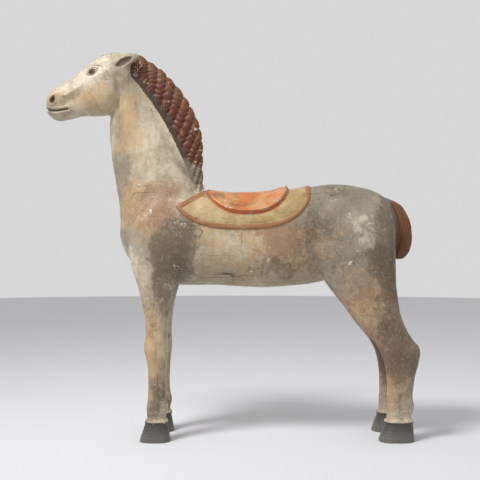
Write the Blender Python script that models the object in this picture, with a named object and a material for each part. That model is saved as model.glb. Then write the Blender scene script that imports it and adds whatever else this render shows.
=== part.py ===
"""A carved and painted wooden carousel horse that stands square on its four hooves.

Metres, +Z up. The head points along -X and the horse's left side faces -Y. The origin is on the
ground, under the middle of the horse. The figure is one solid: rings are lofted into a trunk, neck,
head, legs, mane and tail, fused, smoothed as a carver rounds the joints, and then carved.
"""

import bmesh
import bpy
import numpy as np
from mathutils import Matrix

HEIGHT = 1.10
SHARE = HEIGHT / 1000

BARREL_WIDTH = 0.250
NECK_WIDTH = 0.104
HEAD_WIDTH = 0.118
EAR_THICKNESS = 0.026
EAR_SPREAD = 0.070
EAR_SPLAY = 0.010
MANE_THICKNESS = 0.042
TAIL_WIDTH = 0.060
STANCE_WIDTH = 0.152
CANNON_WIDTH = 0.054

SADDLE_CLOTH_RELIEF = 0.005
SEAT_RELIEF = 0.007
CANTLE_RELIEF = 0.004
MANE_LOCK_PITCH = 0.033
MANE_LOCK_DEPTH = 0.008
TAIL_LOCK_COUNT = 5
TAIL_LOCK_DEPTH = 0.006
EYE_LENGTH = 0.032
EYE_HEIGHT = 0.021
EYE_RELIEF = 0.007
NOSTRIL_LENGTH = 0.024
NOSTRIL_HEIGHT = 0.014
NOSTRIL_DEPTH = 0.007
MOUTH_WIDTH = 0.010
MOUTH_DEPTH = 0.005
CHEEK_RADIUS = 0.052
CHEEK_RELIEF = 0.006
EAR_HOLLOW_LENGTH = 0.058
EAR_HOLLOW_HEIGHT = 0.022
EAR_HOLLOW_DEPTH = 0.004
CORONET_WIDTH = 0.014
CORONET_RELIEF = 0.004
CHEST_FURROW_WIDTH = 0.030
CHEST_FURROW_HEIGHT = 0.120
CHEST_FURROW_DEPTH = 0.008

RING_SIDES = 28
RING_STEPS = 4
FUSE_GRAIN = HEIGHT / 210
FINISHING_PASSES = 2
ROUNDING_PASSES = 7
SOLID_TRIANGLES = 9700

# Each ring is its lower or front edge (x, z), its upper or rear edge (x, z), in thousandths of the
# height, and its width as a share of the limb's named width.
TRUNK = [
    (-282, 505, -282, 560, 0.30),
    (-262, 462, -260, 600, 0.54),
    (-228, 425, -228, 630, 0.76),
    (-190, 402, -190, 645, 0.88),
    (-140, 392, -140, 646, 0.95),
    (-85, 391, -85, 636, 0.98),
    (-30, 391, -30, 625, 1.00),
    (30, 387, 30, 622, 1.00),
    (95, 385, 95, 625, 1.00),
    (155, 389, 155, 635, 1.00),
    (215, 396, 215, 648, 0.99),
    (275, 411, 275, 653, 0.97),
    (330, 432, 330, 647, 0.91),
    (378, 460, 378, 634, 0.76),
    (410, 486, 410, 610, 0.58),
    (425, 512, 425, 580, 0.36),
]
NECK = [
    (-292, 878, -262, 975, 0.74),
    (-310, 822, -240, 918, 0.80),
    (-311, 768, -212, 870, 0.88),
    (-305, 712, -184, 817, 1.00),
    (-296, 658, -152, 760, 1.18),
    (-287, 600, -116, 694, 1.46),
    (-281, 540, -76, 634, 1.76),
    (-262, 480, -50, 560, 1.86),
]
HEAD = [
    (-477, 850, -477, 872, 0.26),
    (-472, 836, -471, 886, 0.50),
    (-461, 825, -459, 898, 0.61),
    (-440, 818, -440, 911, 0.62),
    (-412, 822, -418, 926, 0.58),
    (-382, 830, -394, 942, 0.66),
    (-352, 830, -366, 962, 0.86),
    (-325, 831, -338, 981, 1.00),
    (-302, 843, -308, 992, 1.00),
    (-280, 868, -278, 992, 0.88),
    (-258, 902, -254, 980, 0.64),
]
EAR = [
    (-322, 934, -308, 970, 0.80),
    (-306, 934, -290, 980, 1.00),
    (-286, 940, -270, 988, 1.00),
    (-266, 950, -252, 990, 0.86),
    (-247, 963, -240, 988, 0.62),
    (-232, 974, -231, 984, 0.36),
]
MANE = [
    (-300, 950, -297, 986, 0.50),
    (-284, 938, -270, 995, 0.80),
    (-262, 912, -243, 994, 1.00),
    (-240, 880, -209, 973, 1.00),
    (-216, 840, -168, 943, 1.00),
    (-192, 797, -127, 898, 1.00),
    (-168, 751, -94, 846, 1.00),
    (-143, 704, -74, 792, 1.00),
    (-120, 664, -69, 738, 0.95),
    (-102, 636, -70, 688, 0.85),
    (-92, 610, -66, 642, 0.60),
]
TAIL = [
    (366, 588, 402, 622, 0.60),
    (376, 558, 442, 602, 0.85),
    (384, 532, 466, 568, 1.00),
    (390, 511, 475, 536, 1.00),
    (396, 492, 474, 501, 0.95),
    (403, 476, 464, 473, 0.85),
    (413, 464, 449, 458, 0.60),
]
# A leg's rings lie level: height, front edge, rear edge, and width as a share of the cannon's width.
FRONT_LEG = [
    (40, -206, -160, 0.92),
    (60, -208, -160, 0.94),
    (84, -211, -155, 1.04),
    (108, -207, -159, 0.92),
    (150, -206, -160, 0.90),
    (190, -208, -158, 0.96),
    (214, -213, -155, 1.14),
    (240, -215, -153, 1.20),
    (266, -212, -156, 1.10),
    (310, -215, -152, 1.16),
    (355, -223, -145, 1.36),
    (400, -235, -131, 1.62),
    (445, -249, -112, 1.84),
    (500, -256, -98, 1.90),
    (550, -246, -106, 1.58),
    (592, -222, -130, 0.76),
]
REAR_LEG = [
    (40, 399, 459, 0.98),
    (60, 398, 461, 1.00),
    (86, 397, 468, 1.12),
    (110, 399, 465, 0.98),
    (155, 398, 470, 0.98),
    (196, 392, 480, 1.12),
    (230, 380, 484, 1.30),
    (258, 360, 465, 1.24),
    (290, 333, 447, 1.36),
    (332, 303, 433, 1.60),
    (385, 262, 424, 1.90),
    (440, 228, 422, 2.10),
    (500, 212, 422, 2.12),
    (552, 222, 418, 1.84),
    (594, 250, 405, 1.16),
    (618, 285, 380, 0.50),
]
FRONT_HOOF = [
    (-16, -230, -148, 1.50),
    (6, -226, -149, 1.46),
    (46, -212, -157, 1.12),
    (54, -207, -161, 0.96),
]
REAR_HOOF = [
    (-16, 376, 470, 1.56),
    (6, 380, 468, 1.52),
    (46, 394, 464, 1.18),
    (54, 399, 460, 1.02),
]

# Carved places in side view: x, z in thousandths of the height.
CLOTH_MIDDLE_X = 30
CLOTH_HALF_LENGTH = 178
CLOTH_LOW_Z = 534
SEAT_MIDDLE_X = 46
SEAT_HALF_LENGTH = 111
SEAT_LOW_Z = 571
SADDLE_TOP_Z = 660
CLOTH_SQUARENESS = 2.6
SEAT_SQUARENESS = 2.2
CANTLE_RISE = (0.50, 0.85)
# The saddle stays below a line that rises backwards past this place, at the foot of the mane.
WITHERS_LINE = (-60, 640)
WITHERS_RISE = 0.62
EYE_PLACE = (-352, 940)
EYE_TILT = 0.42
NOSTRIL_PLACE = (-455, 870)
NOSTRIL_TILT = 1.25
MOUTH_FRONT = (-484, 847)
MOUTH_CORNER = (-417, 846)
CHEEK_PLACE = (-329, 893)
EAR_HOLLOW_PLACE = (-270, 964)
EAR_TILT = 0.5
CORONET_Z = 50
FINE_BELOW_Z = 62
FINE_ABOVE_Z = 940
CHEST_Z = 520
CHEST_FRONT_X = -262
CHEST_SIDE_X = -230

# Carved places along a limb, as lengths in metres from its first ring or as shares of the way across
# it, each from where the carving starts to where it has its full depth.
LOCK_ROOTS = (0.30, 0.46)
BEHIND_THE_POLL = (0.045, 0.070)
LOCK_LEAN = 0.9
LOCK_CURL = 0.35
BELOW_THE_DOCK = (0.02, 0.05)
CLEAR_OF_THE_RUMP = (0.20, 0.40)
TAIL_TWIST = 6.0

CREAM_PAINT = (0.62, 0.55, 0.44, 1.0)
PAINT_ROUGHNESS = 0.62
SHARP_EDGE = 0.8


def flowing(rows, steps=RING_STEPS):
    """The rows with steps more between each two, on a smooth curve through all of them."""
    rows = np.array(rows, float)
    padded = np.vstack([2 * rows[0] - rows[1], rows, 2 * rows[-1] - rows[-2]])
    made = []
    for before, here, there, after in zip(padded, padded[1:], padded[2:], padded[3:]):
        for t in np.arange(steps) / steps:
            leaving = (there - before) / 2
            arriving = (after - here) / 2
            made.append(
                (2 * t**3 - 3 * t**2 + 1) * here
                + (t**3 - 2 * t**2 + t) * leaving
                + (3 * t**2 - 2 * t**3) * there
                + (t**3 - t**2) * arriving
            )
    made.append(rows[-1])
    return np.array(made)


def level(leg):
    """A leg's level rings in the form of the other rings."""
    return [(front, z, rear, z, width) for z, front, rear, width in leg]


def loft(rings, width, side=0.0, splay=0.0, fullness=2.4):
    """A closed limb through the rings. side moves it off the middle plane, splay its end further."""
    shape = bmesh.new()
    rings = flowing(rings)
    loops = []
    for number, (ax, az, bx, bz, share) in enumerate(rings):
        middle = (ax + bx) / 2 * SHARE, (az + bz) / 2 * SHARE
        reach = (bx - ax) / 2 * SHARE, (bz - az) / 2 * SHARE
        offset = side + splay * number / (len(rings) - 1)
        place = Matrix(
            (
                (reach[0], 0, -reach[1], middle[0]),
                (0, share * width / 2, 0, offset),
                (reach[1], 0, reach[0], middle[1]),
                (0, 0, 0, 1),
            )
        )
        circle = bmesh.ops.create_circle(shape, segments=RING_SIDES, radius=1.0)["verts"]
        for vert in circle:
            for axis in (0, 1):
                value = vert.co[axis]
                vert.co[axis] = np.sign(value) * abs(value) ** (2 / fullness)
        bmesh.ops.transform(shape, matrix=place, verts=circle)
        in_ring = set(circle)
        loops.append([edge for edge in shape.edges if edge.verts[0] in in_ring])
    for first, second in zip(loops, loops[1:]):
        bmesh.ops.bridge_loops(shape, edges=first + second)
    open_ends = [edge for edge in shape.edges if edge.is_boundary]
    bmesh.ops.holes_fill(shape, edges=open_ends, sides=0)
    bmesh.ops.recalc_face_normals(shape, faces=shape.faces)
    limb = bpy.data.meshes.new("limb")
    shape.to_mesh(limb)
    shape.free()
    return limb


def limbs():
    """The closed limbs that the carver would glue up, each reaching well into its neighbour."""
    made = [
        loft(TRUNK, BARREL_WIDTH, fullness=2.5),
        loft(NECK, NECK_WIDTH),
        loft(HEAD, HEAD_WIDTH, fullness=2.6),
        loft(MANE, MANE_THICKNESS, fullness=2.8),
        loft(TAIL, TAIL_WIDTH),
    ]
    for side in (-1, 1):
        stance = side * STANCE_WIDTH / 2
        for leg in (FRONT_LEG, REAR_LEG):
            made.append(loft(level(leg), CANNON_WIDTH, stance))
        for hoof in (FRONT_HOOF, REAR_HOOF):
            made.append(loft(level(hoof), CANNON_WIDTH, stance, fullness=2.7))
        made.append(loft(EAR, EAR_THICKNESS, side * EAR_SPREAD / 2, side * EAR_SPLAY))
    return made


def fused(meshes):
    """One closed skin round all the meshes, as quads of an even size."""
    whole = bmesh.new()
    for mesh in meshes:
        whole.from_mesh(mesh)
        bpy.data.meshes.remove(mesh)
    blank = bpy.data.meshes.new("blank")
    whole.to_mesh(blank)
    whole.free()
    block = bpy.data.objects.new("block", blank)
    bpy.context.scene.collection.objects.link(block)
    skin = block.modifiers.new("fuse", "REMESH")
    skin.mode = "VOXEL"
    skin.voxel_size = FUSE_GRAIN
    bpy.context.view_layer.update()
    graph = bpy.context.evaluated_depsgraph_get()
    mesh = bpy.data.meshes.new_from_object(block.evaluated_get(graph))
    bpy.data.objects.remove(block)
    return mesh


def step(values, low, high):
    """0 below low, 1 above high, and smooth between them. low may be the larger."""
    t = np.clip((values - low) / (high - low), 0, 1)
    return t * t * (3 - 2 * t)


def along_rings(points, rings):
    """For each point its way along a limb, its share of the way across, and its distance from the rings."""
    rings = flowing(rings, 12) * SHARE
    first, second = rings[:, 0:2], rings[:, 2:4]
    across = second - first
    lengths = np.linalg.norm(np.diff((first + second) / 2, axis=0), axis=1)
    travelled = np.concatenate([[0], np.cumsum(lengths)])
    flat = points[:, [0, 2]]
    nearest = np.zeros(len(flat), int)
    best = np.full(len(flat), np.inf)
    shares = np.zeros(len(flat))
    for number in range(len(rings)):
        offset = flat - first[number]
        share = offset @ across[number] / (across[number] @ across[number])
        foot = np.clip(share, 0, 1)[:, None] * across[number]
        distance = np.linalg.norm(offset - foot, axis=1)
        closer = distance < best
        best[closer] = distance[closer]
        nearest[closer] = number
        shares[closer] = share[closer]
    return travelled[nearest], shares, best


def ridges(phase):
    """Rounded ridges between narrow grooves, from -1 in a groove to 0.4 on a ridge."""
    return 1.4 * np.abs(np.sin(np.pi * phase)) ** 0.55 - 1.0


def ellipse(points, place, length, height, tilt=0.0):
    """1 at the centre of an ellipse in side view, 0 on its rim, less outside. place is in shares."""
    x = points[:, 0] - place[0] * SHARE
    z = points[:, 2] - place[1] * SHARE
    c, s = np.cos(tilt), np.sin(tilt)
    return 1 - ((x * c + z * s) / (length / 2)) ** 2 - ((z * c - x * s) / (height / 2)) ** 2


def mane_relief(points):
    """Locks that fall back and down from the crest, one beside the next."""
    travelled, across, distance = along_rings(points, MANE)
    here = step(across, *LOCK_ROOTS) * step(travelled, *BEHIND_THE_POLL)
    here *= (distance < MANE_THICKNESS / 4) & (np.abs(points[:, 1]) < MANE_THICKNESS * 3 / 4)
    lean = travelled / MANE_LOCK_PITCH + LOCK_LEAN * across + LOCK_CURL * across**2
    return here * MANE_LOCK_DEPTH / 2 * ridges(lean)


def tail_relief(points):
    """Locks that run down the docked tail, side by side round its back."""
    travelled, across, distance = along_rings(points, TAIL)
    here = step(travelled, *BELOW_THE_DOCK) * step(across, *CLEAR_OF_THE_RUMP)
    here *= distance < TAIL_WIDTH / 3
    behind_the_core = (across - CLEAR_OF_THE_RUMP[0]) * TAIL_WIDTH * 1.5
    round_the_back = np.arctan2(points[:, 1], behind_the_core) / np.pi
    phase = round_the_back * TAIL_LOCK_COUNT + 0.5 + TAIL_TWIST * travelled
    return here * TAIL_LOCK_DEPTH / 2 * ridges(phase)


def swag(points, middle_x, half_length, low_z, squareness):
    """Metres inside the edge of a swag that hangs from the back, negative outside it."""
    x = (points[:, 0] / SHARE - middle_x) / half_length
    depth = np.clip(1 - np.abs(x) ** squareness, 0, 1) ** (1 / squareness)
    edge = SADDLE_TOP_Z - (SADDLE_TOP_Z - low_z) * depth
    inside = np.minimum((1 - np.abs(x)) * half_length, points[:, 2] / SHARE - edge)
    below_withers = WITHERS_LINE[1] + WITHERS_RISE * (points[:, 0] / SHARE - WITHERS_LINE[0])
    inside = np.minimum(inside, (below_withers - points[:, 2] / SHARE) / np.hypot(1, WITHERS_RISE))
    return inside * SHARE


def saddle_relief(points):
    """A cloth over the back, with a seat on it that rises into a cantle behind."""
    cloth = swag(points, CLOTH_MIDDLE_X, CLOTH_HALF_LENGTH, CLOTH_LOW_Z, CLOTH_SQUARENESS)
    seat = swag(points, SEAT_MIDDLE_X, SEAT_HALF_LENGTH, SEAT_LOW_Z, SEAT_SQUARENESS)
    relief = SADDLE_CLOTH_RELIEF * step(cloth, -0.4 * FUSE_GRAIN, 0.8 * FUSE_GRAIN)
    relief += SEAT_RELIEF * step(seat, -0.4 * FUSE_GRAIN, 1.6 * FUSE_GRAIN)
    backward = (points[:, 0] / SHARE - SEAT_MIDDLE_X) / SEAT_HALF_LENGTH
    relief += CANTLE_RELIEF * step(seat, 0.0, 1.6 * FUSE_GRAIN) * step(backward, *CANTLE_RISE)
    return relief


def face_relief(points):
    """The eye in its socket, the nostril and its wing, the cheek and the line of the mouth."""
    eye = ellipse(points, EYE_PLACE, EYE_LENGTH, EYE_HEIGHT, EYE_TILT)
    socket = ellipse(points, EYE_PLACE, EYE_LENGTH * 1.8, EYE_HEIGHT * 1.9, EYE_TILT)
    relief = EYE_RELIEF * (np.sqrt(np.clip(eye, 0, 1)) - 0.45 * step(socket, 0, 0.8))
    nostril = ellipse(points, NOSTRIL_PLACE, NOSTRIL_LENGTH, NOSTRIL_HEIGHT, NOSTRIL_TILT)
    wing = ellipse(points, NOSTRIL_PLACE, NOSTRIL_LENGTH * 1.8, NOSTRIL_HEIGHT * 2, NOSTRIL_TILT)
    relief += NOSTRIL_DEPTH * (0.4 * step(wing, 0, 0.5) - 1.4 * step(nostril, 0, 0.7))
    cheek = ellipse(points, CHEEK_PLACE, 2 * CHEEK_RADIUS, 2.3 * CHEEK_RADIUS)
    relief += CHEEK_RELIEF * step(cheek, -0.10, 0.75)
    start, end = np.array(MOUTH_FRONT) * SHARE, np.array(MOUTH_CORNER) * SHARE
    lip = end - start
    offset = points[:, [0, 2]] - start
    share = np.clip(offset @ lip / (lip @ lip), 0, 1)
    away = np.linalg.norm(offset - share[:, None] * lip, axis=1)
    relief -= MOUTH_DEPTH * step(away, MOUTH_WIDTH / 2, MOUTH_WIDTH / 10)
    return relief


def ear_relief(points):
    """The hollow in the outer face of each ear."""
    outer = np.abs(points[:, 1]) > EAR_SPREAD / 2 + EAR_THICKNESS / 8
    hollow = ellipse(points, EAR_HOLLOW_PLACE, EAR_HOLLOW_LENGTH, EAR_HOLLOW_HEIGHT, EAR_TILT)
    return -EAR_HOLLOW_DEPTH * step(hollow, 0, 0.8) * outer


def chest_relief(points):
    """The furrow between the breast muscles."""
    x, y, z = points.T
    front = step(x, CHEST_SIDE_X * SHARE, CHEST_FRONT_X * SHARE)
    front *= step(np.abs(z - CHEST_Z * SHARE), CHEST_FURROW_HEIGHT * 0.8, CHEST_FURROW_HEIGHT * 0.2)
    return -CHEST_FURROW_DEPTH * front * step(np.abs(y), CHEST_FURROW_WIDTH / 2, 0)


def hoof_relief(points):
    """A raised band where the hair meets the hoof."""
    away = np.abs(points[:, 2] - CORONET_Z * SHARE)
    return CORONET_RELIEF * step(away, CORONET_WIDTH / 2, CORONET_WIDTH / 5)


def smoothed(shape, verts, factor):
    bmesh.ops.smooth_vert(
        shape, verts=verts, factor=factor, use_axis_x=True, use_axis_y=True, use_axis_z=True
    )


def carved(mesh):
    """Rounds the fused skin, carves it, cuts the soles flat on the ground and centres it."""
    shape = bmesh.new()
    shape.from_mesh(mesh)
    for _ in range(FINISHING_PASSES):
        smoothed(shape, shape.verts, 0.5)
    low, high = FINE_BELOW_Z * SHARE, FINE_ABOVE_Z * SHARE
    broad = [vert for vert in shape.verts if low < vert.co.z < high]
    for _ in range(ROUNDING_PASSES):
        smoothed(shape, broad, 0.5)
    shape.normal_update()
    points = np.array([vert.co for vert in shape.verts])
    relief = (
        mane_relief(points)
        + tail_relief(points)
        + saddle_relief(points)
        + face_relief(points)
        + ear_relief(points)
        + chest_relief(points)
        + hoof_relief(points)
    )
    for vert, height in zip(shape.verts, relief):
        vert.co += vert.normal * height
    smoothed(shape, shape.verts, 0.5)
    everything = shape.verts[:] + shape.edges[:] + shape.faces[:]
    cut = bmesh.ops.bisect_plane(
        shape, geom=everything, plane_co=(0, 0, 0), plane_no=(0, 0, 1), clear_inner=True
    )
    rim = [part for part in cut["geom_cut"] if isinstance(part, bmesh.types.BMEdge)]
    bmesh.ops.holes_fill(shape, edges=rim, sides=0)
    bmesh.ops.triangulate(shape, faces=shape.faces)
    bmesh.ops.recalc_face_normals(shape, faces=shape.faces)
    reach = [vert.co.x for vert in shape.verts]
    middle = (min(reach) + max(reach)) / 2
    bmesh.ops.translate(shape, verts=shape.verts, vec=(-middle, 0, 0))
    shape.to_mesh(mesh)
    shape.free()


def painted(name, colour):
    """A painted wood finish."""
    paint = bpy.data.materials.new(name)
    paint.use_nodes = True
    shader = paint.node_tree.nodes["Principled BSDF"]
    shader.inputs["Base Color"].default_value = colour
    shader.inputs["Roughness"].default_value = PAINT_ROUGHNESS
    shader.inputs["Metallic"].default_value = 0.0
    return paint


def main():
    for item in list(bpy.data.objects):
        bpy.data.objects.remove(item)
    mesh = fused(limbs())
    carved(mesh)
    mesh.name = "horse"
    horse = bpy.data.objects.new("horse", mesh)
    bpy.context.scene.collection.objects.link(horse)
    mesh.materials.append(painted("painted_wood", CREAM_PAINT))
    thinned = horse.modifiers.new("facets", "DECIMATE")
    thinned.ratio = SOLID_TRIANGLES / len(mesh.polygons)
    mesh.shade_smooth()
    mesh.set_sharp_from_angle(angle=SHARP_EDGE)


main()
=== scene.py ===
"""The looks of a carved and painted wooden carousel horse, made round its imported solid.

Metres, +Z up. The head points along -X and the horse's left side faces -Y. Places on the carving are
given in side view, as x and z in thousandths of the horse's height.
"""

import bmesh
import bpy
import numpy as np
from bpy.props import FloatProperty, FloatVectorProperty, IntProperty, PointerProperty
from mathutils import Matrix, Vector, noise
from mathutils.bvhtree import BVHTree


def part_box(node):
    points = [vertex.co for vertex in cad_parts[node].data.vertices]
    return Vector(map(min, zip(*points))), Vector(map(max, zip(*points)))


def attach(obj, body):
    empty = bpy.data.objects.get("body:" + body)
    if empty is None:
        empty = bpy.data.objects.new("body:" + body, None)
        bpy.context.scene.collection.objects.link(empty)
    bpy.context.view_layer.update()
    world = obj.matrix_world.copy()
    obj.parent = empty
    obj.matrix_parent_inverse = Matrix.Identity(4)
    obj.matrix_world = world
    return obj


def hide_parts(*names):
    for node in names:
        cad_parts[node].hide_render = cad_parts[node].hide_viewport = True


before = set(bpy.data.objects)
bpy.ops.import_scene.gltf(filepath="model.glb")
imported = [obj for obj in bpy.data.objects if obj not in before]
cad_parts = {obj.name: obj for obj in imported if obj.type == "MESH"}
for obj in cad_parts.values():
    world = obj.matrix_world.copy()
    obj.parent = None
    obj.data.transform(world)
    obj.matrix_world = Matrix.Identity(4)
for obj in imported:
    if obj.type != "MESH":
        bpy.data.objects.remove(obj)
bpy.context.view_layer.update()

bl_info = {
    "name": "Carousel Horse",
    "version": (1, 0, 0),
    "blender": (4, 5, 0),
    "location": "3D View > Sidebar > Carousel",
    "description": "Carves and paints a worn wooden carousel horse round its packed solid",
    "category": "Add Mesh",
}

CAD_LOW, CAD_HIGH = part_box("horse")
# The tips of the ears stand this many thousandths of the horse's named height above the ground.
EAR_TIP_SHARE = 995.9
SHARE = (CAD_HIGH.z - CAD_LOW.z) / EAR_TIP_SHARE
HEIGHT = SHARE * 1000

RING_SIDES = 28
RING_STEPS = 4

# Each ring is its lower or front edge (x, z), its upper or rear edge (x, z), and its width as a share
# of the limb's named width.
TRUNK = [
    (-282, 505, -282, 560, 0.30),
    (-262, 462, -260, 600, 0.54),
    (-228, 425, -228, 630, 0.76),
    (-190, 402, -190, 645, 0.88),
    (-140, 392, -140, 646, 0.95),
    (-85, 391, -85, 636, 0.98),
    (-30, 391, -30, 625, 1.00),
    (30, 387, 30, 622, 1.00),
    (95, 385, 95, 625, 1.00),
    (155, 389, 155, 635, 1.00),
    (215, 396, 215, 648, 0.99),
    (275, 411, 275, 653, 0.97),
    (330, 432, 330, 647, 0.91),
    (378, 460, 378, 634, 0.76),
    (410, 486, 410, 610, 0.58),
    (425, 512, 425, 580, 0.36),
]
NECK = [
    (-292, 878, -262, 975, 0.74),
    (-310, 822, -240, 918, 0.80),
    (-311, 768, -212, 870, 0.88),
    (-305, 712, -184, 817, 1.00),
    (-296, 658, -152, 760, 1.18),
    (-287, 600, -116, 694, 1.46),
    (-281, 540, -76, 634, 1.76),
    (-262, 480, -50, 560, 1.86),
]
HEAD = [
    (-477, 850, -477, 872, 0.26),
    (-472, 836, -471, 886, 0.50),
    (-461, 825, -459, 898, 0.61),
    (-440, 818, -440, 911, 0.62),
    (-412, 822, -418, 926, 0.58),
    (-382, 830, -394, 942, 0.66),
    (-352, 830, -366, 962, 0.86),
    (-325, 831, -338, 981, 1.00),
    (-302, 843, -308, 992, 1.00),
    (-280, 868, -278, 992, 0.88),
    (-258, 902, -254, 980, 0.64),
]
EAR = [
    (-322, 934, -308, 970, 0.80),
    (-306, 934, -290, 980, 1.00),
    (-286, 940, -270, 988, 1.00),
    (-266, 950, -252, 990, 0.86),
    (-247, 963, -240, 988, 0.62),
    (-232, 974, -231, 984, 0.36),
]
MANE = [
    (-300, 950, -297, 986, 0.50),
    (-284, 938, -270, 995, 0.80),
    (-262, 912, -243, 994, 1.00),
    (-240, 880, -209, 973, 1.00),
    (-216, 840, -168, 943, 1.00),
    (-192, 797, -127, 898, 1.00),
    (-168, 751, -94, 846, 1.00),
    (-143, 704, -74, 792, 1.00),
    (-120, 664, -69, 738, 0.95),
    (-102, 636, -70, 688, 0.85),
    (-92, 610, -66, 642, 0.60),
]
TAIL = [
    (366, 588, 402, 622, 0.60),
    (376, 558, 442, 602, 0.85),
    (384, 532, 466, 568, 1.00),
    (390, 511, 475, 536, 1.00),
    (396, 492, 474, 501, 0.95),
    (403, 476, 464, 473, 0.85),
    (413, 464, 449, 458, 0.60),
]
# A leg's rings lie level: height, front edge, rear edge, and width as a share of the cannon's width.
FRONT_LEG = [
    (40, -206, -160, 0.92),
    (60, -208, -160, 0.94),
    (84, -211, -155, 1.04),
    (108, -207, -159, 0.92),
    (150, -206, -160, 0.90),
    (190, -208, -158, 0.96),
    (214, -213, -155, 1.14),
    (240, -215, -153, 1.20),
    (266, -212, -156, 1.10),
    (310, -215, -152, 1.16),
    (355, -223, -145, 1.36),
    (400, -235, -131, 1.62),
    (445, -249, -112, 1.84),
    (500, -256, -98, 1.90),
    (550, -246, -106, 1.58),
    (592, -222, -130, 0.76),
]
REAR_LEG = [
    (40, 399, 459, 0.98),
    (60, 398, 461, 1.00),
    (86, 397, 468, 1.12),
    (110, 399, 465, 0.98),
    (155, 398, 470, 0.98),
    (196, 392, 480, 1.12),
    (230, 380, 484, 1.30),
    (258, 360, 465, 1.24),
    (290, 333, 447, 1.36),
    (332, 303, 433, 1.60),
    (385, 262, 424, 1.90),
    (440, 228, 422, 2.10),
    (500, 212, 422, 2.12),
    (552, 222, 418, 1.84),
    (594, 250, 405, 1.16),
    (618, 285, 380, 0.50),
]
FRONT_HOOF = [
    (-16, -230, -148, 1.50),
    (6, -226, -149, 1.46),
    (46, -212, -157, 1.12),
    (54, -207, -161, 0.96),
]
REAR_HOOF = [
    (-16, 376, 470, 1.56),
    (6, 380, 468, 1.52),
    (46, 394, 464, 1.18),
    (54, 399, 460, 1.02),
]

CLOTH_MIDDLE_X = 30
CLOTH_HALF_LENGTH = 178
CLOTH_LOW_Z = 534
SEAT_MIDDLE_X = 46
SEAT_HALF_LENGTH = 111
SEAT_LOW_Z = 571
SADDLE_TOP_Z = 660
CLOTH_SQUARENESS = 2.6
SEAT_SQUARENESS = 2.2
CANTLE_RISE = (0.50, 0.85)
# The saddle stays below a line that rises backwards past this place, at the foot of the mane.
WITHERS_LINE = (-60, 640)
WITHERS_RISE = 0.62
EYE_PLACE = (-352, 940)
EYE_TILT = 0.42
NOSTRIL_PLACE = (-455, 870)
NOSTRIL_TILT = 1.25
MOUTH_FRONT = (-484, 847)
MOUTH_MIDDLE = (-450, 841)
MOUTH_CORNER = (-417, 846)
CHEEK_PLACE = (-329, 893)
EAR_HOLLOW_PLACE = (-270, 964)
EAR_TILT = 0.5
CORONET_Z = 50
FINE_BELOW_Z = 62
FINE_ABOVE_Z = 940
CHEST_Z = 520
CHEST_FRONT_X = -262
CHEST_SIDE_X = -230
HEAD_STARTS = (-225, 815)
FORELOCK = [(-296, 990), (-326, 984), (-350, 966)]
FORELOCK_STRAND = 0.0062

# Carved places along a limb, as lengths in metres from its first ring or as shares of the way across
# it, each from where the carving starts to where it has its full depth.
LOCK_ROOTS = (0.30, 0.46)
BEHIND_THE_POLL = (0.045, 0.070)
LOCK_LEAN = 0.9
LOCK_CURL = 0.35
BELOW_THE_DOCK = (0.02, 0.05)
CLEAR_OF_THE_RUMP = (0.20, 0.40)
TAIL_TWIST = 6.0

# Strokes of the gouge on both sides: a line in side view, its width and its depth in metres. A negative
# depth leaves a ridge.
STROKES = {
    "jaw to neck": ([(-296, 838), (-287, 880), (-288, 925)], 0.020, 0.0030),
    "jugular groove": ([(-286, 815), (-280, 740), (-268, 660), (-262, 590)], 0.034, 0.0030),
    "crest of the neck": ([(-244, 868), (-205, 790), (-166, 715), (-130, 655)], 0.040, 0.0020),
    "shoulder blade": ([(-128, 655), (-176, 610), (-226, 548)], 0.040, -0.0030),
    "behind the shoulder": ([(-92, 622), (-84, 560), (-92, 500), (-112, 446)], 0.040, 0.0045),
    "point of the shoulder": ([(-262, 560), (-240, 530), (-232, 492)], 0.030, 0.0030),
    "fore arm": ([(-190, 470), (-186, 410), (-186, 330), (-188, 285)], 0.022, 0.0022),
    "fore tendon": ([(-172, 200), (-172, 150), (-170, 108)], 0.012, 0.0016),
    "flank": ([(236, 600), (220, 545), (212, 490), (222, 440)], 0.044, 0.0050),
    "seam of the thigh": ([(396, 600), (388, 540), (384, 480), (392, 420)], 0.026, 0.0026),
    "quarter": ([(300, 628), (330, 580), (336, 520)], 0.050, -0.0025),
    "gaskin": ([(352, 440), (366, 380), (388, 318), (408, 270)], 0.022, 0.0026),
    "above the hock": ([(430, 330), (444, 290), (456, 250)], 0.016, 0.0018),
    "hind tendon": ([(444, 196), (440, 150), (438, 108)], 0.013, 0.0016),
    "cheek bone": ([(-372, 912), (-398, 893), (-424, 880)], 0.012, -0.0022),
    "below the cheek bone": ([(-366, 896), (-396, 872), (-424, 862)], 0.018, 0.0022),
    "bridge of the nose": ([(-384, 926), (-410, 910), (-438, 897)], 0.014, 0.0012),
    "brow": ([(-372, 952), (-354, 962), (-332, 958)], 0.014, -0.0030),
}
# Rounded rises and hollows on both sides: middle, length and height in metres, and rise.
SWELLS = {
    "knee": ((-206, 238), 0.050, 0.050, 0.0022),
    "elbow": ((-132, 452), 0.060, 0.060, 0.0030),
    "shoulder muscle": ((-210, 600), 0.110, 0.150, 0.0030),
    "fore fetlock": ((-168, 84), 0.040, 0.036, 0.0016),
    "stifle": ((246, 470), 0.070, 0.080, 0.0030),
    "haunch": ((330, 560), 0.150, 0.130, 0.0030),
    "point of the hock": ((470, 226), 0.036, 0.040, 0.0022),
    "hollow of the hock": ((438, 226), 0.028, 0.044, -0.0020),
    "hind fetlock": ((452, 86), 0.044, 0.040, 0.0016),
    "temple": ((-322, 952), 0.032, 0.024, -0.0025),
    "chin": ((-446, 826), 0.036, 0.022, 0.0016),
}

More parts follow.
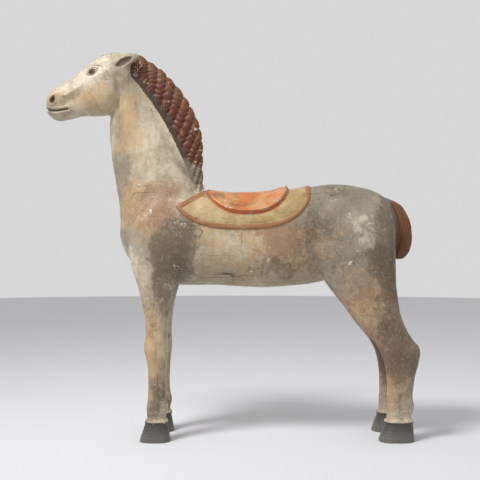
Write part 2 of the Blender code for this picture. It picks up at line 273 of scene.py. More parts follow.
# Old paint, varnish and soiling on both sides, with painted shade in a few places, as soft-edged patches: x
# and z, length and height in metres, tilt, and how much of the layer lies there.
STAINS = {
    "bleached": [
        (-366, 944, 0.20, 0.10, 0.6, 0.60),
        (-315, 880, 0.14, 0.14, 0.0, 0.45),
        (-232, 790, 0.12, 0.30, 0.25, 0.25),
        (-250, 430, 0.08, 0.22, 0.0, 0.5),
        (42, 488, 0.40, 0.10, 0.0, 0.4),
        (346, 520, 0.20, 0.18, 0.0, 0.3),
    ],
    "grey": [
        (-281, 664, 0.14, 0.34, 0.1, 0.6),
        (-270, 530, 0.16, 0.20, 0.0, 0.45),
        (-84, 690, 0.12, 0.14, 0.0, 0.5),
        (215, 545, 0.26, 0.26, 0.0, 0.75),
        (-145, 510, 0.24, 0.34, 0.0, 0.7),
        (290, 622, 0.38, 0.18, 0.0, 0.95),
        (320, 440, 0.34, 0.34, 0.0, 0.6),
        (420, 160, 0.18, 0.30, 0.0, 0.6),
        (-190, 140, 0.14, 0.30, 0.0, 0.55),
    ],
    "ochre": [
        (-360, 873, 0.24, 0.12, 0.1, 0.42),
        (-471, 882, 0.08, 0.08, 0.0, 0.5),
        (-258, 802, 0.12, 0.26, 0.1, 0.5),
        (-220, 600, 0.26, 0.24, 0.0, 0.45),
        (-205, 210, 0.14, 0.44, 0.0, 0.55),
        (345, 330, 0.26, 0.34, -0.7, 0.45),
        (400, 140, 0.14, 0.24, 0.0, 0.4),
        (60, 500, 0.60, 0.28, 0.0, 0.38),
    ],
    "rust": [
        (-180, 594, 0.24, 0.22, 0.0, 0.5),
        (140, 504, 0.26, 0.22, -0.3, 0.5),
        (-330, 858, 0.12, 0.10, 0.0, 0.10),
        (400, 230, 0.22, 0.34, 0.0, 0.5),
        (350, 380, 0.22, 0.22, 0.0, 0.35),
        (-190, 330, 0.14, 0.26, 0.0, 0.3),
    ],
    "umber": [
        (-437, 862, 0.12, 0.10, 0.0, 0.28),
        (-284, 946, 0.12, 0.11, 0.3, 0.15),
        # Painted shade where the fore leg meets the body.
        (-150, 484, 0.18, 0.30, 0.0, 0.60),
        (-166, 378, 0.09, 0.26, 0.0, 0.34),
        # Painted shade along the lower barrel.
        (80, 446, 0.60, 0.10, 0.0, 0.20),
        (220, 530, 0.36, 0.24, 0.0, 0.28),
        (300, 640, 0.26, 0.10, 0.0, 0.24),
        # Painted shade between the tail and the buttock.
        (414, 560, 0.13, 0.30, 0.0, 0.8),
        (404, 430, 0.17, 0.26, 0.2, 0.7),
        (434, 246, 0.19, 0.32, 0.0, 0.74),
        (-72, 682, 0.10, 0.10, 0.0, 0.5),
        (-180, 100, 0.12, 0.14, 0.0, 0.45),
        (430, 110, 0.14, 0.16, 0.0, 0.20),
    ],
}
# For each layer, from the lowest: the scale of its patches, where its noise is read, and how much of it
# there is away from the stains.
STAIN_LAYERS = {
    "grey": (12.0, 1.0, 0.20),
    "bleached": (10.0, 7.0, 0.17),
    "ochre": (13.0, 13.0, 0.26),
    "rust": (16.0, 19.0, 0.20),
    "umber": (11.0, 29.0, 0.20),
}
STAIN_VEIL = 0.36
STAIN_FLAKES = 0.50
# The stains' outlines wander this far, in metres, with this many turns to a metre.
STAIN_WANDER = 0.030
STAIN_WANDER_SCALE = 11

# Paint is lost where its noise passes CHIPS_FROM. Primer shows first and then wood, each over a short way.
CHIPS_FROM = 0.665
CHIPS_ON_EDGES = 0.55
CHIPS_KEPT_OFF_TAIL = 0.06
PRIMER_FADE = 0.012
WOOD_FROM = 0.030
WOOD_FADE = 0.015

# Where the hair's paint lies: metres along the limb, shares of the way across it, and heights.
MANE_PAINT_STARTS = 0.050
MANE_PAINT_FROM = 0.26
MANE_PAINT_SIDE = 0.72
MANE_PAINT_ENDS_Z = 652
MANE_WIDTHS = {0: 0.05, 0.06: 0.09, 0.16: 0.118, 0.30: 0.105, 0.42: 0.06}
MANE_BORDER = (0.34, 0.50)
MANE_FOOT_LINE = (682, 636)
MANE_FOOT_LEAN = 0.5
TAIL_PAINT_STARTS = 0.022
TAIL_PAINT_FROM = 0.16
TAIL_PAINT_SIDE = 0.60
TAIL_DEPTH = 0.08

# Strands sway this share of a lock to each side, with this many waves, each lock's shifted a little.
STRAND_SWAY = 0.10
STRAND_WAVES = 7
STRAND_SHIFT = 1.9
STRAND_SHARPNESS = 0.8
TAIL_WAVES = 9

# The gouge's marks to a metre, and how deep they are beside the named depth.
GOUGE_MARKS = {26: 1.0, 61: 0.5}
VOXELS_IN_HEIGHT = 210
SEAM_PASSES = 2
ROUNDING_PASSES = 7

SHELTER_RAYS = 12
# The rays fan out from the way that the skin faces, down to this share of a half globe round it.
SHELTER_FAN = 0.92
RAY_START = 0.0015
BLANK_MARGIN = 0.006
CENTIMETRE = 0.01

# The boards stand upright below and above these heights, behind a line that leans back from the throat.
UPRIGHT_BELOW_Z = (430, 380)
UPRIGHT_ABOVE_Z = (640, 690)
THROAT_X = (-330, -290)
THROAT_Z = 880
THROAT_LEAN = 0.62
FACE_ENDS_X = -300
EARS_FROM_Z = 850
# Distances to the features of the face are cut off here: in metres, and in radii of the feature.
FAR_FROM_MOUTH = 0.04
FAR_FROM_EYE = 4

SENSOR_WIDTH = 36.0
FLOOR_SIDES = 96
KEY_LAMP_PLACE = (-1.88, -2.04, 3.94)
KEY_LAMP_AIM = (0.05, 0.1, 0.35)
PIECE = "carved_horse"


def flowing(rows, steps=RING_STEPS):
    """The rows with steps more between each two, on a smooth curve through all of them."""
    rows = np.array(rows, float)
    padded = np.vstack([2 * rows[0] - rows[1], rows, 2 * rows[-1] - rows[-2]])
    made = []
    for before, here, there, after in zip(padded, padded[1:], padded[2:], padded[3:]):
        for t in np.arange(steps) / steps:
            leaving = (there - before) / 2
            arriving = (after - here) / 2
            made.append(
                (2 * t**3 - 3 * t**2 + 1) * here
                + (t**3 - 2 * t**2 + t) * leaving
                + (3 * t**2 - 2 * t**3) * there
                + (t**3 - t**2) * arriving
            )
    made.append(rows[-1])
    return np.array(made)


def level(leg):
    """A leg's level rings in the form of the other rings."""
    return [(front, z, rear, z, width) for z, front, rear, width in leg]


def loft(rings, width, side=0.0, splay=0.0, fullness=2.4):
    """A closed limb through the rings. side moves it off the middle plane, splay its end further."""
    shape = bmesh.new()
    rings = flowing(rings)
    loops = []
    for number, (ax, az, bx, bz, share) in enumerate(rings):
        middle = (ax + bx) / 2 * SHARE, (az + bz) / 2 * SHARE
        reach = (bx - ax) / 2 * SHARE, (bz - az) / 2 * SHARE
        offset = side + splay * number / (len(rings) - 1)
        place = Matrix(
            (
                (reach[0], 0, -reach[1], middle[0]),
                (0, share * width / 2, 0, offset),
                (reach[1], 0, reach[0], middle[1]),
                (0, 0, 0, 1),
            )
        )
        circle = bmesh.ops.create_circle(shape, segments=RING_SIDES, radius=1.0)["verts"]
        for vert in circle:
            for axis in (0, 1):
                value = vert.co[axis]
                vert.co[axis] = np.sign(value) * abs(value) ** (2 / fullness)
        bmesh.ops.transform(shape, matrix=place, verts=circle)
        in_ring = set(circle)
        loops.append([edge for edge in shape.edges if edge.verts[0] in in_ring])
    for first, second in zip(loops, loops[1:]):
        bmesh.ops.bridge_loops(shape, edges=first + second)
    open_ends = [edge for edge in shape.edges if edge.is_boundary]
    bmesh.ops.holes_fill(shape, edges=open_ends, sides=0)
    bmesh.ops.recalc_face_normals(shape, faces=shape.faces)
    limb = bpy.data.meshes.new("limb")
    shape.to_mesh(limb)
    shape.free()
    return limb


def limbs(sizes):
    """The closed limbs that the carver would glue up, each reaching well into its neighbour."""
    made = [
        loft(TRUNK, sizes.barrel_width, fullness=2.5),
        loft(NECK, sizes.neck_width),
        loft(HEAD, sizes.head_width, fullness=2.6),
        loft(MANE, sizes.mane_thickness, fullness=2.8),
        loft(TAIL, sizes.tail_width),
    ]
    for side in (-1, 1):
        stance = side * sizes.stance_width / 2
        for leg in (FRONT_LEG, REAR_LEG):
            made.append(loft(level(leg), sizes.cannon_width, stance))
        for hoof in (FRONT_HOOF, REAR_HOOF):
            made.append(loft(level(hoof), sizes.cannon_width, stance, fullness=2.7))
        made.append(
            loft(EAR, sizes.ear_thickness, side * sizes.ear_spread / 2, side * sizes.ear_splay)
        )
    return made


def with_modifier(mesh, kind, **settings):
    """The mesh as a modifier leaves it. The old mesh is removed."""
    holder = bpy.data.objects.new("work", mesh)
    bpy.context.scene.collection.objects.link(holder)
    modifier = holder.modifiers.new("work", kind)
    for name, value in settings.items():
        setattr(modifier, name, value)
    bpy.context.view_layer.update()
    graph = bpy.context.evaluated_depsgraph_get()
    made = bpy.data.meshes.new_from_object(holder.evaluated_get(graph))
    bpy.data.objects.remove(holder)
    bpy.data.meshes.remove(mesh)
    return made


def fused(meshes):
    """One closed skin round all the meshes, as quads of an even size."""
    whole = bmesh.new()
    for mesh in meshes:
        whole.from_mesh(mesh)
        bpy.data.meshes.remove(mesh)
    blank = bpy.data.meshes.new("blank")
    whole.to_mesh(blank)
    whole.free()
    return with_modifier(blank, "REMESH", mode="VOXEL", voxel_size=HEIGHT / VOXELS_IN_HEIGHT)


def step(values, low, high):
    """0 below low, 1 above high, and smooth between them. low may be the larger."""
    t = np.clip((values - low) / (high - low), 0, 1)
    return t * t * (3 - 2 * t)


def bell(values, width):
    """1 at 0, falling away smoothly to nothing at about the width."""
    return np.exp(-4 * (values / width) ** 2)


def along_rings(points, rings):
    """For each point its way along a limb, its share of the way across, and its distance from the rings."""
    rings = flowing(rings, 12) * SHARE
    first, second = rings[:, 0:2], rings[:, 2:4]
    across = second - first
    lengths = np.linalg.norm(np.diff((first + second) / 2, axis=0), axis=1)
    travelled = np.concatenate([[0], np.cumsum(lengths)])
    flat = points[:, [0, 2]]
    nearest = np.zeros(len(flat), int)
    best = np.full(len(flat), np.inf)
    shares = np.zeros(len(flat))
    for number in range(len(rings)):
        offset = flat - first[number]
        share = offset @ across[number] / (across[number] @ across[number])
        foot = np.clip(share, 0, 1)[:, None] * across[number]
        distance = np.linalg.norm(offset - foot, axis=1)
        closer = distance < best
        best[closer] = distance[closer]
        nearest[closer] = number
        shares[closer] = share[closer]
    return travelled[nearest], shares, best


def ridges(phase, sharpness=0.55):
    """Rounded ridges between narrow grooves, from -1 in a groove to 0.4 on a ridge."""
    return 1.4 * np.abs(np.sin(np.pi * phase)) ** sharpness - 1.0


def local(points, place, tilt):
    """Each point's way along and up from a place in side view, in metres, on axes turned by tilt."""
    x = points[:, 0] - place[0] * SHARE
    z = points[:, 2] - place[1] * SHARE
    c, s = np.cos(tilt), np.sin(tilt)
    return x * c + z * s, z * c - x * s


def ellipse(points, place, length, height, tilt=0.0):
    """1 at the centre of an ellipse in side view, 0 on its rim, less outside. place is in shares."""
    u, v = local(points, place, tilt)
    return 1 - (u / (length / 2)) ** 2 - (v / (height / 2)) ** 2


def from_line(points, line):
    """Each point's distance in side view from a smooth line through places in shares."""
    line = flowing(line, 5) * SHARE
    flat = points[:, [0, 2]]
    best = np.full(len(flat), np.inf)
    for start, end in zip(line, line[1:]):
        way = end - start
        offset = flat - start
        share = np.clip(offset @ way / (way @ way), 0, 1)
        best = np.minimum(best, np.linalg.norm(offset - share[:, None] * way, axis=1))
    return best


def swag(points, middle_x, half_length, low_z, squareness):
    """Metres inside the edge of a swag that hangs from the back, negative outside it."""
    x = (points[:, 0] / SHARE - middle_x) / half_length
    depth = np.clip(1 - np.abs(x) ** squareness, 0, 1) ** (1 / squareness)
    edge = SADDLE_TOP_Z - (SADDLE_TOP_Z - low_z) * depth
    inside = np.minimum((1 - np.abs(x)) * half_length, points[:, 2] / SHARE - edge)
    below_withers = WITHERS_LINE[1] + WITHERS_RISE * (points[:, 0] / SHARE - WITHERS_LINE[0])
    inside = np.minimum(inside, (below_withers - points[:, 2] / SHARE) / np.hypot(1, WITHERS_RISE))
    return inside * SHARE


def broad_forms(points, sizes):
    """Muscles, bones and the grooves between them, on both sides."""
    relief = np.zeros(len(points))
    for line, width, depth in STROKES.values():
        relief -= depth * bell(from_line(points, line), width)
    for place, length, height, rise in SWELLS.values():
        relief += rise * step(ellipse(points, place, length, height), -0.5, 0.9)
    x, y, z = points.T
    front = step(x, CHEST_SIDE_X * SHARE, CHEST_FRONT_X * SHARE)
    high = sizes.chest_furrow_height
    front *= step(np.abs(z - CHEST_Z * SHARE), high * 0.8, high * 0.2)
    furrow = step(np.abs(y), sizes.chest_furrow_width / 2, 0)
    return relief - sizes.chest_furrow_depth * front * furrow


def mane_locks(points, sizes):
    """How fully the mane is carved at each point, its phase from lock to lock and the way across it."""
    travelled, across, distance = along_rings(points, MANE)
    here = step(across, *LOCK_ROOTS) * step(travelled, *BEHIND_THE_POLL)
    thick = sizes.mane_thickness
    here *= (distance < thick / 4) & (np.abs(points[:, 1]) < thick * 3 / 4)
    phase = travelled / sizes.mane_lock_pitch + LOCK_LEAN * across + LOCK_CURL * across**2
    return here, phase, across


def tail_locks(points, sizes):
    """How fully the tail is carved at each point, its phase from lock to lock and the way along it."""
    travelled, across, distance = along_rings(points, TAIL)
    width = sizes.tail_width
    here = step(travelled, *BELOW_THE_DOCK) * step(across, *CLEAR_OF_THE_RUMP)
    here *= distance < width / 3
    behind_the_core = (across - CLEAR_OF_THE_RUMP[0]) * width * 1.5
    round_the_back = np.arctan2(points[:, 1], behind_the_core) / np.pi
    phase = round_the_back * sizes.tail_lock_count + 0.5 + TAIL_TWIST * travelled
    return here, phase, travelled


def strands(here, phase, along, in_lock):
    """Fine strands that wave within each lock, from -1 in a groove to 0.4 on a strand."""
    wave = STRAND_SWAY * np.sin(STRAND_WAVES * along + STRAND_SHIFT * np.floor(phase))
    inner = phase - np.floor(phase)
    return here * ridges(in_lock * (phase + wave * np.sin(np.pi * inner)), STRAND_SHARPNESS)


def hair_locks(points, sizes):
    """Locks of the mane and the tail, each a little higher on the side that lies over the next."""
    relief = np.zeros(len(points))
    for here, phase, _ in (mane_locks(points, sizes), tail_locks(points, sizes)):
        lock = phase - np.floor(phase)
        relief += here * (ridges(phase) + 0.35 * (lock - 0.5)) * sizes.lock_depth / 2
    return relief


def hair_strands(points, sizes):
    """The strands within the locks, and the forelock on the brow."""
    here, phase, across = mane_locks(points, sizes)
    relief = strands(here, phase, across, sizes.strands_in_lock)
    here, phase, travelled = tail_locks(points, sizes)
    relief += strands(here, phase, TAIL_WAVES * travelled, sizes.strands_in_lock)
    return relief * sizes.strand_depth


def forelock_mask(points):
    """1 where the forelock lies on the brow, between the ears."""
    near = step(from_line(points, FORELOCK), 0.016, 0.007)
    return near * step(np.abs(points[:, 1]), 0.017, 0.009)


def forelock(points, sizes):
    """A short forelock in five strands."""
    comb = ridges(points[:, 1] / FORELOCK_STRAND + 0.5)
    return forelock_mask(points) * (sizes.forelock_relief + sizes.strand_depth * comb)


def cloth_inside(points):
    """Metres inside the edge of the saddle cloth."""
    return swag(points, CLOTH_MIDDLE_X, CLOTH_HALF_LENGTH, CLOTH_LOW_Z, CLOTH_SQUARENESS)


def seat_inside(points):
    """Metres inside the edge of the seat."""
    return swag(points, SEAT_MIDDLE_X, SEAT_HALF_LENGTH, SEAT_LOW_Z, SEAT_SQUARENESS)


def saddle(points, sizes):
    """A hemmed cloth over the back, with a seat on it that has a rolled rim and rises into a cantle."""
    cloth = cloth_inside(points)
    seat = seat_inside(points)
    relief = sizes.cloth_relief * step(cloth, -0.0012, 0.0028)
    relief -= sizes.hem_depth * bell(cloth - sizes.hem_width, 0.0050)
    relief += sizes.seat_relief * step(seat, -0.0012, 0.0060)
    relief += sizes.rim_relief * bell(seat - sizes.rim_width / 2, sizes.rim_width)
    relief -= sizes.hem_depth * bell(seat - sizes.rim_width, 0.0050)
    backward = (points[:, 0] / SHARE - SEAT_MIDDLE_X) / SEAT_HALF_LENGTH
    return relief + sizes.cantle_relief * step(seat, 0.0, 0.008) * step(backward, *CANTLE_RISE)


def eye_radius(points, sizes):
    """0 at the middle of the eye and 1 on the rim of its almond, with how far above the middle."""
    u, v = local(points, EYE_PLACE, EYE_TILT)
    u, v = u / (sizes.eye_length / 2), v / (sizes.eye_height / 2)
    narrowing = 1 - 0.3 * np.clip(u * u, 0, 1)
    return np.hypot(u, v / narrowing), v


def nostril_radius(points, sizes):
    """0 in the nostril, 1 on its rim. It is widest below and runs to a point above."""
    u, v = local(points, NOSTRIL_PLACE, NOSTRIL_TILT)
    u, v = u / (sizes.nostril_length / 2), v / (sizes.nostril_height / 2)
    return np.hypot(u, v / (1 - 0.4 * np.clip(u, -0.5, 1)))


def mouth_distance(points):
    """Metres from the line between the lips."""
    return from_line(points, [MOUTH_FRONT, MOUTH_MIDDLE, MOUTH_CORNER])


def face(points, sizes):
    """The eye with its lids, the nostril and its wing, the cheek, the lips and the line between them."""
    radius, up = eye_radius(points, sizes)
    ball = np.sqrt(np.clip(1 - radius**2, 0, 1))
    relief = sizes.eye_relief * (ball - 0.45 * step(radius, 2.0, 1.15))
    relief += sizes.lid_relief * bell(radius - 1.22, 0.34) * np.where(up > 0, 1.0, 0.6)
    relief -= 0.5 * sizes.lid_relief * bell(radius - 1.0, 0.16)
    relief -= 0.5 * sizes.lid_relief * bell(radius - 1.72, 0.30) * (up > 0)
    radius = nostril_radius(points, sizes)
    relief += sizes.nostril_depth * (0.34 * bell(radius - 1.3, 0.8) - 1.2 * step(radius, 1.05, 0.4))
    cheek = ellipse(points, CHEEK_PLACE, 2 * sizes.cheek_radius, 2.3 * sizes.cheek_radius)
    relief += sizes.cheek_relief * step(cheek, -0.10, 0.60)
    away = mouth_distance(points)
    relief += 0.3 * sizes.mouth_depth * bell(away - sizes.mouth_width * 0.6, sizes.mouth_width * 0.9)
    return relief - sizes.mouth_depth * bell(away, sizes.mouth_width * 0.55)


def ears(points, sizes):
    """The hollow in the outer face of each ear, inside a thin rim."""
    outer = np.abs(points[:, 1]) > sizes.ear_spread / 2 + sizes.ear_thickness / 8
    hollow = ellipse(
        points, EAR_HOLLOW_PLACE, sizes.ear_hollow_length, sizes.ear_hollow_height, EAR_TILT
    )
    return -sizes.ear_hollow_depth * step(hollow, 0, 0.6) * outer


def hooves(points, sizes):
    """A raised band where the hair meets the hoof, and growth rings below it."""
    below = CORONET_Z * SHARE - points[:, 2]
    rings = np.sin(2 * np.pi * below / sizes.hoof_ring_pitch) * (below > sizes.coronet_width / 2)
    band = step(np.abs(below), sizes.coronet_width / 2, sizes.coronet_width / 5)
    return sizes.coronet_relief * band + sizes.hoof_ring_depth * rings


def hand_marks(points, sizes):
    """The slight unevenness that the carver's gouge leaves everywhere."""
    marks = [
        sum(depth * noise.noise(point * scale) for scale, depth in GOUGE_MARKS.items())
        for point in map(Vector, points)
    ]
    return sizes.hand_mark_depth * np.array(marks)


def smoothed(shape, verts, factor=0.5):
    """Moves each vertex part of the way to the middle of its neighbours."""
    bmesh.ops.smooth_vert(
        shape, verts=verts, factor=factor, use_axis_x=True, use_axis_y=True, use_axis_z=True
    )


def rounded(mesh):
    """The fused skin with its joints rounded, as the solid has it, and finer where the carving is."""
    shape = bmesh.new()
    shape.from_mesh(mesh)
    for _ in range(SEAM_PASSES):
        smoothed(shape, shape.verts)
    low, high = FINE_BELOW_Z * SHARE, FINE_ABOVE_Z * SHARE
    broad = [vert for vert in shape.verts if low < vert.co.z < high]
    for _ in range(ROUNDING_PASSES):
        smoothed(shape, broad)
    shape.to_mesh(mesh)
    shape.free()
    mesh = with_modifier(mesh, "SUBSURF", levels=1, render_levels=1)
    shape = bmesh.new()
    shape.from_mesh(mesh)
    head_x, head_z = HEAD_STARTS[0] * SHARE, HEAD_STARTS[1] * SHARE
    head = {vert for vert in shape.verts if vert.co.x < head_x and vert.co.z > head_z}
    edges = [edge for edge in shape.edges if edge.verts[0] in head and edge.verts[1] in head]
    bmesh.ops.subdivide_edges(shape, edges=edges, cuts=1, use_grid_fill=True)
    smoothed(shape, shape.verts)
    shape.to_mesh(mesh)
    shape.free()
    return mesh


def read(items, what, kind, per_item):
    """What each of a mesh's items holds, as the rows of an array."""
    made = np.empty(len(items) * per_item, kind)
    items.foreach_get(what, made)
    return made.reshape(-1, per_item)


def places(mesh):
    """The mesh's vertices."""
    return read(mesh.vertices, "co", np.float32, 3).astype(float)


def normals(mesh):
    """The mesh's vertex normals."""
    return read(mesh.vertex_normals, "vector", np.float32, 3).astype(float)


def move_to(mesh, points):
    """Puts the mesh's vertices at the points."""
    mesh.vertices.foreach_set("co", points.astype(np.float32).ravel())
    mesh.update()


def carve_into(mesh, sizes, *cuts):
    """Moves the skin along its normals by what the cuts say together."""
    points = places(mesh)
    relief = sum(cut(points, sizes) for cut in cuts)
    move_to(mesh, points + normals(mesh) * relief[:, None])


def soles_cut(mesh):
    """Cuts the soles flat on the ground and leaves the skin as triangles that face outwards."""
    shape = bmesh.new()
    shape.from_mesh(mesh)
    everything = shape.verts[:] + shape.edges[:] + shape.faces[:]
    cut = bmesh.ops.bisect_plane(
        shape, geom=everything, plane_co=(0, 0, 0), plane_no=(0, 0, 1), clear_inner=True
    )
    rim = [part for part in cut["geom_cut"] if isinstance(part, bmesh.types.BMEdge)]
    bmesh.ops.holes_fill(shape, edges=rim, sides=0)
    bmesh.ops.triangulate(shape, faces=shape.faces)
    bmesh.ops.recalc_face_normals(shape, faces=shape.faces)
    shape.to_mesh(mesh)
    shape.free()


def held_in_blank(mesh):
    """Rounds off what would stand out of the solid's own box, because no carving leaves its blank."""
    points = places(mesh)
    reach = points[:, 0].min() + points[:, 0].max()
    middle = np.array([reach / 2, 0, CAD_HIGH.z / 2])
    half = np.array([(CAD_HIGH.x - CAD_LOW.x) / 2, min(CAD_HIGH.y, -CAD_LOW.y), CAD_HIGH.z / 2])
    off = points - middle
    over = np.abs(off) - (half - BLANK_MARGIN)
    near_rim = np.sign(off) * (half - BLANK_MARGIN + BLANK_MARGIN * np.tanh(over / BLANK_MARGIN))
    off = np.where(over > 0, near_rim, off)
    off[:, 2] = np.where(points[:, 2] > middle[2], off[:, 2], points[:, 2] - middle[2])
    move_to(mesh, off + middle)


def settled(mesh, factor):
    """One light smoothing of the whole skin."""
    shape = bmesh.new()
    shape.from_mesh(mesh)
    smoothed(shape, shape.verts, factor)
    shape.to_mesh(mesh)
    shape.free()


def carving(sizes):
    """The whole carved skin, before it is painted."""
    mesh = rounded(fused(limbs(sizes)))
    carve_into(mesh, sizes, broad_forms)
    carve_into(mesh, sizes, hair_locks, saddle, face, ears, hooves, forelock)
    settled(mesh, 0.5)
    carve_into(mesh, sizes, hair_strands, hand_marks)
    held_in_blank(mesh)
    soles_cut(mesh)
    return with_modifier(mesh, "DECIMATE", ratio=sizes.triangles / len(mesh.polygons))


def spread(mesh, values, passes):
    """The values averaged with their neighbours' a few times."""
    first, second = read(mesh.edges, "vertices", np.int32, 2).T
    count = np.bincount(first, minlength=len(values)) + np.bincount(second, minlength=len(values))
    for _ in range(passes):
        total = np.bincount(first, values[second], len(values))
        total += np.bincount(second, values[first], len(values))
        values = (values + total / count) / 2
    return values


def convexity(mesh):
    """Above 0 where the skin stands out as an edge, below 0 where it folds in."""
    points, facing = places(mesh), normals(mesh)
    first, second = read(mesh.edges, "vertices", np.int32, 2).T
    way = points[first] - points[second]
    way /= np.linalg.norm(way, axis=1)[:, None] + 1e-12
    total = np.bincount(first, np.einsum("ij,ij->i", facing[first], way), len(points))
    total -= np.bincount(second, np.einsum("ij,ij->i", facing[second], way), len(points))
    count = np.bincount(first, minlength=len(points)) + np.bincount(second, minlength=len(points))
    return spread(mesh, total / count, 1)


def shelter(mesh, reach):
    """How much of the sky above each point other parts of the horse shut off, from 0 to 1."""
    points, facing = places(mesh), normals(mesh)
    corners = [tuple(face.vertices) for face in mesh.polygons]
    tree = BVHTree.FromPolygons([tuple(point) for point in points], corners)
    turn = np.pi * (3 - np.sqrt(5))
    number = np.arange(SHELTER_RAYS) + 0.5
    rise = np.sqrt(1 - number / SHELTER_RAYS * SHELTER_FAN)
    round_it = turn * number
    across = np.sqrt(1 - rise**2)
    spokes = np.stack([across * np.cos(round_it), across * np.sin(round_it), rise], axis=1)
    side = np.cross(facing, np.where(np.abs(facing[:, 2:]) < 0.9, (0, 0, 1), (1, 0, 0)))
    side /= np.linalg.norm(side, axis=1)[:, None]
    other = np.cross(facing, side)
    starts = [Vector(point) for point in points + facing * RAY_START]
    shut = np.zeros(len(points))
    for a, b, c in spokes:
        ways = [Vector(way) for way in a * side + b * other + c * facing]
        hits = [tree.ray_cast(start, way, reach)[3] for start, way in zip(starts, ways)]
        near = np.array([reach if hit is None else hit for hit in hits])
        shut += 1 - near / reach
    return spread(mesh, shut / SHELTER_RAYS, 3)


def stains(points):
    """For each layer of old paint or dirt, how much of it lies at each point, from 0 to 1.

    A stain has faded to about an eighth where its length and height end.
    """
    made = {}
    wander = np.array([noise.noise_vector(point * STAIN_WANDER_SCALE) for point in map(Vector, points)])
    points = points + STAIN_WANDER * wander
    for layer, places_there in STAINS.items():
        total = np.zeros(len(points))
        for x, z, long, high, tilt, amount in places_there:
            u, v = local(points, (x, z), tilt)
            total += amount * np.exp(-2 * ((2 * u / long) ** 2 + (2 * v / high) ** 2))
        made[layer] = np.clip(total, 0, 1)
    return made


def mane_inside(points, sizes):
    """Metres inside the painted edge of the mane, negative outside it."""
    travelled, across, distance = along_rings(points, MANE)
    wide = np.interp(travelled, list(MANE_WIDTHS), list(MANE_WIDTHS.values()))
    inside = np.minimum((across - MANE_PAINT_FROM) * wide, travelled - MANE_PAINT_STARTS)
    inside = np.minimum(inside, (points[:, 2] / SHARE - MANE_PAINT_ENDS_Z) * SHARE)
    inside = np.minimum(inside, sizes.mane_thickness * MANE_PAINT_SIDE - np.abs(points[:, 1]))
    return np.minimum(inside, sizes.mane_thickness / 4 - distance)


def tail_inside(points, sizes):
    """Metres inside the painted edge of the tail, negative outside it."""
    travelled, across, distance = along_rings(points, TAIL)
    inside = np.minimum((across - TAIL_PAINT_FROM) * TAIL_DEPTH, travelled - TAIL_PAINT_STARTS)
    inside = np.minimum(inside, sizes.tail_width * TAIL_PAINT_SIDE - np.abs(points[:, 1]))
    return np.minimum(inside, sizes.tail_width / 3 - distance)


def paint_fields(points, sizes):
    """What the paint follows at each point: the edges of the carved parts, their grooves and the stains."""
    here, phase, across = mane_locks(points, sizes)
    groove = here * np.clip(-ridges(phase), 0, 1)
    strand = strands(here, phase, across, sizes.strands_in_lock)
    here, phase, travelled = tail_locks(points, sizes)
    groove += here * np.clip(-ridges(phase), 0, 1)
    strand += strands(here, phase, TAIL_WAVES * travelled, sizes.strands_in_lock)
    x, z = points[:, 0] / SHARE, points[:, 2] / SHARE
    near_face = x < FACE_ENDS_X
    features = {
        "eye": (eye_radius(points, sizes)[0], FAR_FROM_EYE),
        "nostril": (nostril_radius(points, sizes), FAR_FROM_EYE),
        "mouth": (mouth_distance(points) / CENTIMETRE, FAR_FROM_MOUTH / CENTIMETRE),
    }
    fields = {
        "mane": mane_inside(points, sizes) / CENTIMETRE,
        "across_mane": across,
        "mane_foot": step(z + MANE_FOOT_LEAN * x, *MANE_FOOT_LINE),
        "tail": tail_inside(points, sizes) / CENTIMETRE,
        "groove": groove,
        "strand": strand,
        "cloth": cloth_inside(points) / CENTIMETRE,
        "seat": seat_inside(points) / CENTIMETRE,
        "hoof": (CORONET_Z * SHARE - points[:, 2]) / CENTIMETRE,
        "ear_hollow": -ears(points, sizes) / sizes.ear_hollow_depth * (z > EARS_FROM_Z),
        "forelock": forelock_mask(points),
        "upright": upright_grain(points),
    }
    for name, (away, far) in features.items():
        fields[name] = np.where(near_face, np.minimum(away, far), far)
    return {**fields, **stains(points)}


def upright_grain(points):
    """1 on the legs and the neck, whose boards stand upright, and 0 on the body and the head."""
    x, z = points[:, 0] / SHARE, points[:, 2] / SHARE
    legs = step(z, *UPRIGHT_BELOW_Z)
    neck = step(z, *UPRIGHT_ABOVE_Z) * step(x - THROAT_LEAN * (z - THROAT_Z), *THROAT_X)
    return np.clip(legs + neck, 0, 1)


